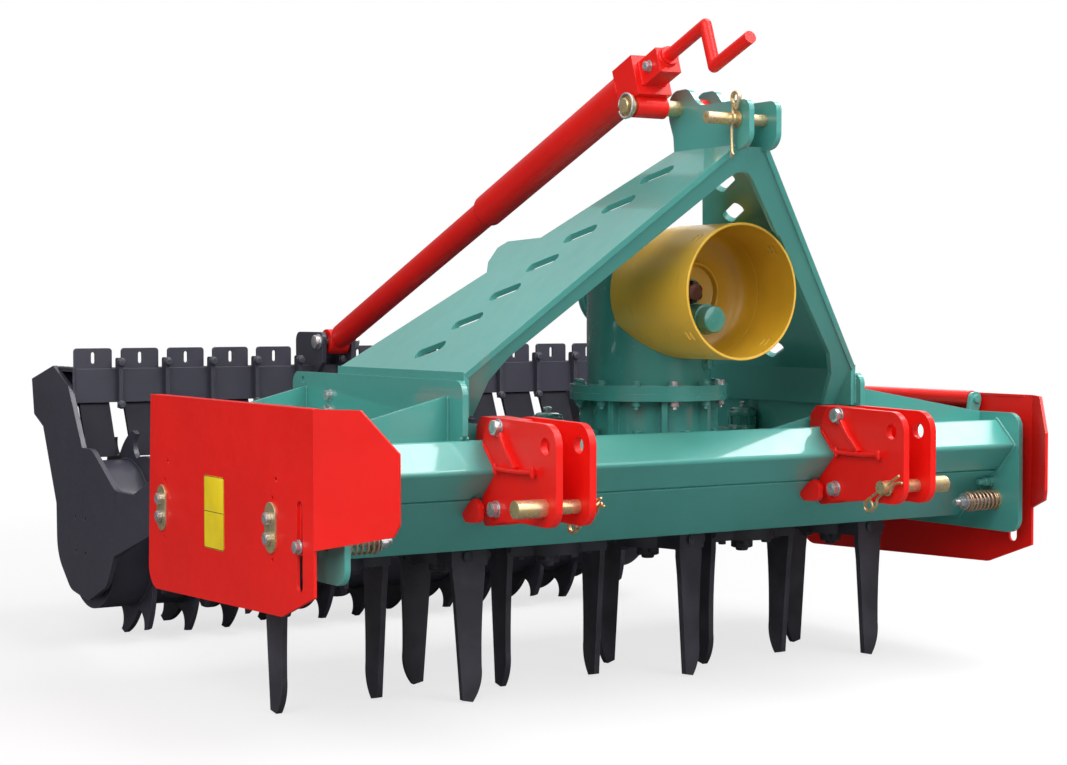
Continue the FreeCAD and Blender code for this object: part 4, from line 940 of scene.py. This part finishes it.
class HARROW_OT_spindle_fittings(bpy.types.Operator):
    """Washer, bolts, welds and gland of the depth spindle, and the clevis bolt at its lower end"""

    bl_idname = "harrow.spindle_fittings"
    bl_label = "Spindle fittings"

    def execute(self, context):
        along = Vector(JOINTS["spindle_slide"]["axis"]).normalized()
        if along.y < 0:
            along = -along
        normal = Vector((0, -along.z, along.y)).normalized()
        start = SPINDLE_PIN + normal * SPINDLE_OFFSET
        side = along.cross(normal)
        red, bright = Workpiece(), Workpiece()
        round_tube = [math.radians(15 * k) for k in range(25)]
        red.bead([start + along * 34.5 + (side * math.cos(a) + normal * math.sin(a)) * 30.8 for a in round_tube], 3.2)
        end = start + along * 574
        red.turned(end - along * 2, along, [(0, 31.0), (3, 30.6), (9, 27.6), (11, 26.2)], 48)
        for s in (-1, 1):
            corner = start + side * (s * 20.5) - along * 29
            red.bead([corner + normal * 15, corner - normal * 25], 2.4)
        red.turned(start - along * 76, -along, [(0, 17.5), (7, 17.5), (8.5, 16), (8.5, 12)], 32)
        bright.bolt(start - along * 55 - side * 20.2 - normal * 4, -side, 15, 0.4)
        bright.bolt(start - along * 55 + side * 20.2 - normal * 4, side, 15, 0.4)
        bright.bolt(start + along * 4 + normal * 28.2, normal, 13, 0.2)
        red.made("spindle_head_welds", "red_paint", "spindle_tube")
        bright.made("spindle_head_bolts", "silver_zinc", "spindle_tube")
        pin, linch = Workpiece(), Workpiece()
        _, y, z = SPINDLE_PIN
        pin.ring((-183, y, z), -RIGHT, 13, 20, 3, 36, bevel=0.6)
        pin.turned((-193.2, y, z), -RIGHT, [(-1.4, 12.9), (0.9, 11.0), (0.9, 3.0)], 36)
        turns = [math.radians(24 * k) for k in range(15)]
        linch.wire(curved([(-188.5, y + 19.5 * math.cos(a), z + 19.5 * math.sin(a)) for a in turns], 2), 2.2, 8)
        pin.made("spindle_pin_washer", "yellow_zinc", "frame")
        linch.made("spindle_pin_ring", "silver_zinc", "frame")
        clevis = Workpiece()
        clevis.ring((-115, *CLEVIS_PIN), -RIGHT, 10.5, 17, 2.8)
        clevis.hexed((-117.6, *CLEVIS_PIN), -RIGHT, 9.5, 27, 0.25)
        clevis.ring((-35, *CLEVIS_PIN), RIGHT, 10.5, 17, 2.8)
        clevis.hexed((-32.4, *CLEVIS_PIN), RIGHT, 10.5, 27, 0.4, both=True)
        clevis.made("clevis_bolt_head", "silver_zinc", "roller_frame")
        return {"FINISHED"}


# ---- roller and rotors --------------------------------------------------------------------------
RING_PITCH = 102.0
RING_LINES = [RING_PITCH * (k - 5.5) for k in range(12)]
SCRAPER_LINES = [RING_PITCH * (k - 6) for k in range(13)]
AXLE = (1244.0, -203.0)
SEAM_R = 151.2
STRAP_FRONT = 1292.0
CLEVIS_MIDDLE = -75.0
HUB_DEPTH = 182.0               # rotor hubs' lower face below the beam's corner


class HARROW_OT_roller_fittings(bpy.types.Operator):
    """Strap and scraper bolts along the crossbar, bearing screws, and the roller's weld beads"""

    bl_idname = "harrow.roller_fittings"
    bl_label = "Roller fittings"

    def execute(self, context):
        bolts, bright, welds = Workpiece(), Workpiece(), Workpiece()
        for number, x in enumerate(RING_LINES):
            bolts.bolt((x, STRAP_FRONT, 145), -REAR, 15.5, turn=0.5 * number)
            bolts.bolt((x, STRAP_FRONT, 57), -REAR, 14, turn=0.8 * number)
            bolts.nut((x, 1396, 92), REAR, 15, turn=0.6 * number)
        for x in SCRAPER_LINES:
            if abs(x - CLEVIS_MIDDLE) > 60:
                for end in (-34, 24):
                    welds.bead([(x + end, 1325.5, 133), (x + end + 12, 1325.5, 133)], 2.4)
            bolts.bolt((x - 20, 1327, 54.8), -UP, 12.5)
            bolts.bolt((x + 20, 1327, 54.8), -UP, 12.5)
        for _, side in SIDES:
            out = RIGHT * side
            for dy in (-29, 29):
                for dz in (-35, 35):
                    bolts.bolt((side * (CHEEK_INNER - 10), AXLE[0] + dy, AXLE[1] + dz), -out, 13, turn=0.2)
            x = side * (CHEEK_INNER - 0.5)
            welds.bead([(x, 1306, 61), (x, 1397, 61), (x, 1397, 133), (x, 1305, 133), (x, 1305, 61)], 3.4)
            bright.ring((side * 652, *PIVOT), -out, 13, 22, 3.4)
        bolts.made("roller_bolts", "anthracite_paint", "roller_frame")
        bright.made("roller_pivot_washers", "silver_zinc", "roller_frame")
        welds.made("roller_frame_welds", "anthracite_paint", "roller_frame")
        seams, turns = Workpiece(), [math.radians(5 * k) for k in range(73)]
        ripples = [2.4 + 0.5 * math.sin(1.9 * k) for k in range(len(turns))]
        for x in RING_LINES:
            for edge in (x - 6.2, x + 6.2):
                circle = [(edge, AXLE[0] + SEAM_R * math.cos(a), AXLE[1] + SEAM_R * math.sin(a)) for a in turns]
                seams.wire(circle, ripples, 6)
        seams.made("ring_seams", "anthracite_paint", "roller")
        return {"FINISHED"}


class HARROW_OT_rotor_fittings(bpy.types.Operator):
    """Washer, nut, flange bolts and tine bolts under each rotor"""

    bl_idname = "harrow.rotor_fittings"
    bl_label = "Rotor fittings"

    def execute(self, context):
        for name, middle in ROTORS:
            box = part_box("tines_" + name[-1])
            span = Vector(box[1]) - Vector(box[0])
            wanted = math.radians(0.0 if span.x > span.y else 90.0)
            axis = Vector((middle.x, ROTOR_LINE, 0))
            way = tine_way(name, axis, wanted)
            side = UP.cross(way)
            bolts = Workpiece()
            bolts.turned(axis - UP * (HUB_DEPTH - 1), -UP, [(0, 30), (4, 30), (5, 29), (5, 24)], 40)
            bolts.hexed(axis - UP * (HUB_DEPTH + 4), -UP, 15, 38, 0.2, both=True)
            bolts.turned(axis - UP * (HUB_DEPTH + 19), -UP, [(0, 12), (4, 12), (6, 10)], 28)
            for k in range(4):
                turn = math.radians(45 + 90 * k)
                spot = axis + (way * math.cos(turn) + side * math.sin(turn)) * 46 - UP * HUB_DEPTH
                bolts.bolt(spot, -UP, 17, 0.3 * k)
            for end in (-1, 1):
                for reach in (-19, 19):
                    spot = axis + way * (end * 106) + side * reach - UP * (HUB_DEPTH - 17)
                    bolts.turned(spot, way * end, [(0, 10), (0.8, 10), (2.0, 8.4), (2.6, 5.5)], 24)
                    spot = axis + way * (end * 80) + side * reach - UP * HUB_DEPTH
                    bolts.bolt(spot, -UP, 13, 0.2, washer=False)
            bolts.made("rotor_bolts_" + name[-1], "black_steel", name)
        return {"FINISHED"}


def tine_way(name, axis, guess):
    """Direction from a rotor's axis to one of its tines, from where the tines are."""
    points = [vertex.co for vertex in FRAME["nodes"]["tines_" + name[-1]].data.vertices]
    local = [(mm(p - CORNER) - axis) for p in points]
    first = Vector((math.cos(guess), math.sin(guess), 0))
    near = [Vector((p.x, p.y, 0)) for p in local if p.dot(first) > 0]
    return sum(near, Vector()).normalized()


# ---- stage --------------------------------------------------------------------------------------
# soft round lamps: name, place in metres, diameter, share of the key lamp's power
LAMPS = (("key", (-3.6, -3.0, 3.1), 4.0, 1.0), ("front", (0.9, -4.0, 2.0), 3.0, 0.34),
         ("top", (0.9, -2.4, 3.6), 2.2, 0.50), ("left", (-4.2, 0.2, 0.9), 2.6, 0.16),
         ("rear", (3.2, 3.0, 2.6), 2.4, 0.22))
AIM = (0.0, 0.0, 0.45)
EYE = Vector((-2.0383, -2.6892, 0.2493))      # the camera's place, in metres from the corner


def lamp(name, place, aim, size, power, depth=None):
    """Area lamp that looks at a point: round, or a rectangle where it has a depth."""
    light = bpy.data.lights.new(name, "AREA")
    light.shape, light.size, light.energy = "RECTANGLE" if depth else "DISK", size, power
    if depth:
        light.size_y = depth
    holder = bpy.data.objects.new(name, light)
    holder.location = place
    holder.rotation_euler = (Vector(aim) - Vector(place)).to_track_quat("-Z", "Y").to_euler()
    bpy.context.scene.collection.objects.link(holder)


def floor_finish():
    """Pale matt floor that fades to white far from the machine, where no shadow falls."""
    mix = Recipe("stage_floor")
    reach = mix.node("ShaderNodeVectorMath", {0: mix.place}, operation="LENGTH").outputs["Value"]
    rays = mix.node("ShaderNodeLightPath")
    seen = rays.outputs["Is Camera Ray"]
    far = mix.times(mix.ranged(reach, 1.0, 3.2, 0.72, 1.0), seen)
    grain = mix.clouded(3.0, (0.84, 0.84, 0.84), (0.87, 0.87, 0.87))
    unseen = mix.blended(rays.outputs["Is Glossy Ray"], (0.38, 0.38, 0.38), (0.10, 0.10, 0.10))
    grain = mix.blended(seen, unseen, grain)
    mix.done(Base_Color=grain, Roughness=0.9, Specular_IOR_Level=0.0)
    glow = mix.node("ShaderNodeEmission", {"Color": (1, 1, 1, 1), "Strength": 1.0})
    both = mix.node("ShaderNodeMixShader", {0: far, 1: mix.shader.outputs[0], 2: glow.outputs[0]})
    output = next(node for node in mix.tree.nodes if node.type == "OUTPUT_MATERIAL")
    mix.tree.links.new(both.outputs[0], output.inputs[0])
    return mix.material


def sky(strength):
    """Even light for the object, and a pale room for the eye and for reflections."""
    world = bpy.data.worlds.new("stage_sky")
    world.use_nodes = True
    tree = world.node_tree
    nodes, links = tree.nodes, tree.links
    background = nodes["Background"]
    rays = nodes.new("ShaderNodeLightPath")
    height = nodes.new("ShaderNodeSeparateXYZ")
    links.new(nodes.new("ShaderNodeTexCoord").outputs["Generated"], height.inputs[0])
    mirrored = nodes.new("ShaderNodeMix")
    links.new(rays.outputs["Is Glossy Ray"], mirrored.inputs[0])
    for socket, low, high, dark, bright in ((2, 0.0, 0.8, 0.3 * strength, strength),
                                            (3, 0.1, 0.9, 0.12, 3.6 * strength)):
        ramp = nodes.new("ShaderNodeMapRange")
        ramp.interpolation_type = "SMOOTHSTEP"
        for index, value in enumerate((low, high, dark, bright), 1):
            ramp.inputs[index].default_value = value
        links.new(height.outputs[2], ramp.inputs[0])
        links.new(ramp.outputs[0], mirrored.inputs[socket])
    seen = nodes.new("ShaderNodeMath")
    seen.operation = "MAXIMUM"
    links.new(rays.outputs["Is Camera Ray"], seen.inputs[0])
    links.new(rays.outputs["Is Transmission Ray"], seen.inputs[1])
    last = nodes.new("ShaderNodeMix")
    links.new(seen.outputs[0], last.inputs[0])
    links.new(mirrored.outputs[0], last.inputs[2])
    last.inputs[3].default_value = 1.0
    links.new(last.outputs[0], background.inputs["Strength"])
    background.inputs["Color"].default_value = (1, 1, 1, 1)
    bpy.context.scene.world = world


class HARROW_OT_stage(bpy.types.Operator):
    """Floor, soft light and camera"""

    bl_idname = "harrow.stage"
    bl_label = "Stage"

    def execute(self, context):
        stage = context.scene.harrow_stage
        disc = bmesh.new()
        bmesh.ops.create_circle(disc, cap_ends=True, segments=96, radius=stage.floor)
        mesh = bpy.data.meshes.new("stage_floor")
        disc.to_mesh(mesh)
        disc.free()
        mesh.materials.append(floor_finish())
        ground = bpy.data.objects.new("stage_floor", mesh)
        ground.location.z = CAD_BOX[0][2] - 0.0005
        context.scene.collection.objects.link(ground)
        sky(stage.sky)
        for name, place, size, share in LAMPS:
            lamp(name, place, AIM, size, stage.key * share)
        place = (1.65, CORNER.y - 0.19, CORNER.z + 2.71)
        lamp("overhead", place, (place[0], place[1], 0), 3.3, stage.key * 0.42, 0.8)
        camera = bpy.data.cameras.new("camera")
        camera.lens, camera.sensor_width = stage.lens, 36.0
        camera.clip_end = 100.0
        eye = bpy.data.objects.new("camera", camera)
        eye.location = CORNER + EYE
        eye.rotation_euler = (math.radians(90) - stage.down, math.radians(0.03), stage.around)
        context.scene.collection.objects.link(eye)
        context.scene.camera = eye
        context.scene.view_settings.view_transform = "Standard"
        return {"FINISHED"}


# ---- panel and run ------------------------------------------------------------------------------
OPERATORS = (HARROW_OT_finishes, HARROW_OT_bracket_bolts, HARROW_OT_hitch_pins, HARROW_OT_headstock_fittings,
             HARROW_OT_gearbox_fittings, HARROW_OT_input_shaft, HARROW_OT_bearing_caps,
             HARROW_OT_trough_fittings, HARROW_OT_side_plate_fittings, HARROW_OT_spring_bolts,
             HARROW_OT_spindle_fittings, HARROW_OT_roller_fittings, HARROW_OT_rotor_fittings, HARROW_OT_stage)


class HARROW_PT_panel(bpy.types.Panel):
    """Sizes, colours and steps of the harrow"""

    bl_idname = "HARROW_PT_panel"
    bl_label = "Power harrow"
    bl_space_type = "VIEW_3D"
    bl_region_type = "UI"
    bl_category = "Harrow"

    def draw(self, context):
        for group in (context.scene.harrow_sizes, context.scene.harrow_colours, context.scene.harrow_stage):
            box = self.layout.box()
            for name in group.__annotations__:
                box.prop(group, name)
        for operator in OPERATORS:
            self.layout.operator(operator.bl_idname)


CLASSES = (HarrowSizes, HarrowColours, HarrowStage) + OPERATORS + (HARROW_PT_panel,)


def register():
    for cls in CLASSES:
        bpy.utils.register_class(cls)
    bpy.types.Scene.harrow_sizes = PointerProperty(type=HarrowSizes)
    bpy.types.Scene.harrow_colours = PointerProperty(type=HarrowColours)
    bpy.types.Scene.harrow_stage = PointerProperty(type=HarrowStage)


def unregister():
    del bpy.types.Scene.harrow_stage
    del bpy.types.Scene.harrow_colours
    del bpy.types.Scene.harrow_sizes
    for cls in reversed(CLASSES):
        bpy.utils.unregister_class(cls)


def main():
    """Runs every step in turn."""
    register()
    for operator in OPERATORS:
        group, name = operator.bl_idname.split(".")
        if getattr(getattr(bpy.ops, group), name)() != {"FINISHED"}:
            raise RuntimeError(operator.bl_label + " did not finish")
    bpy.context.view_layer.update()


if __name__ == "__main__":
    main()
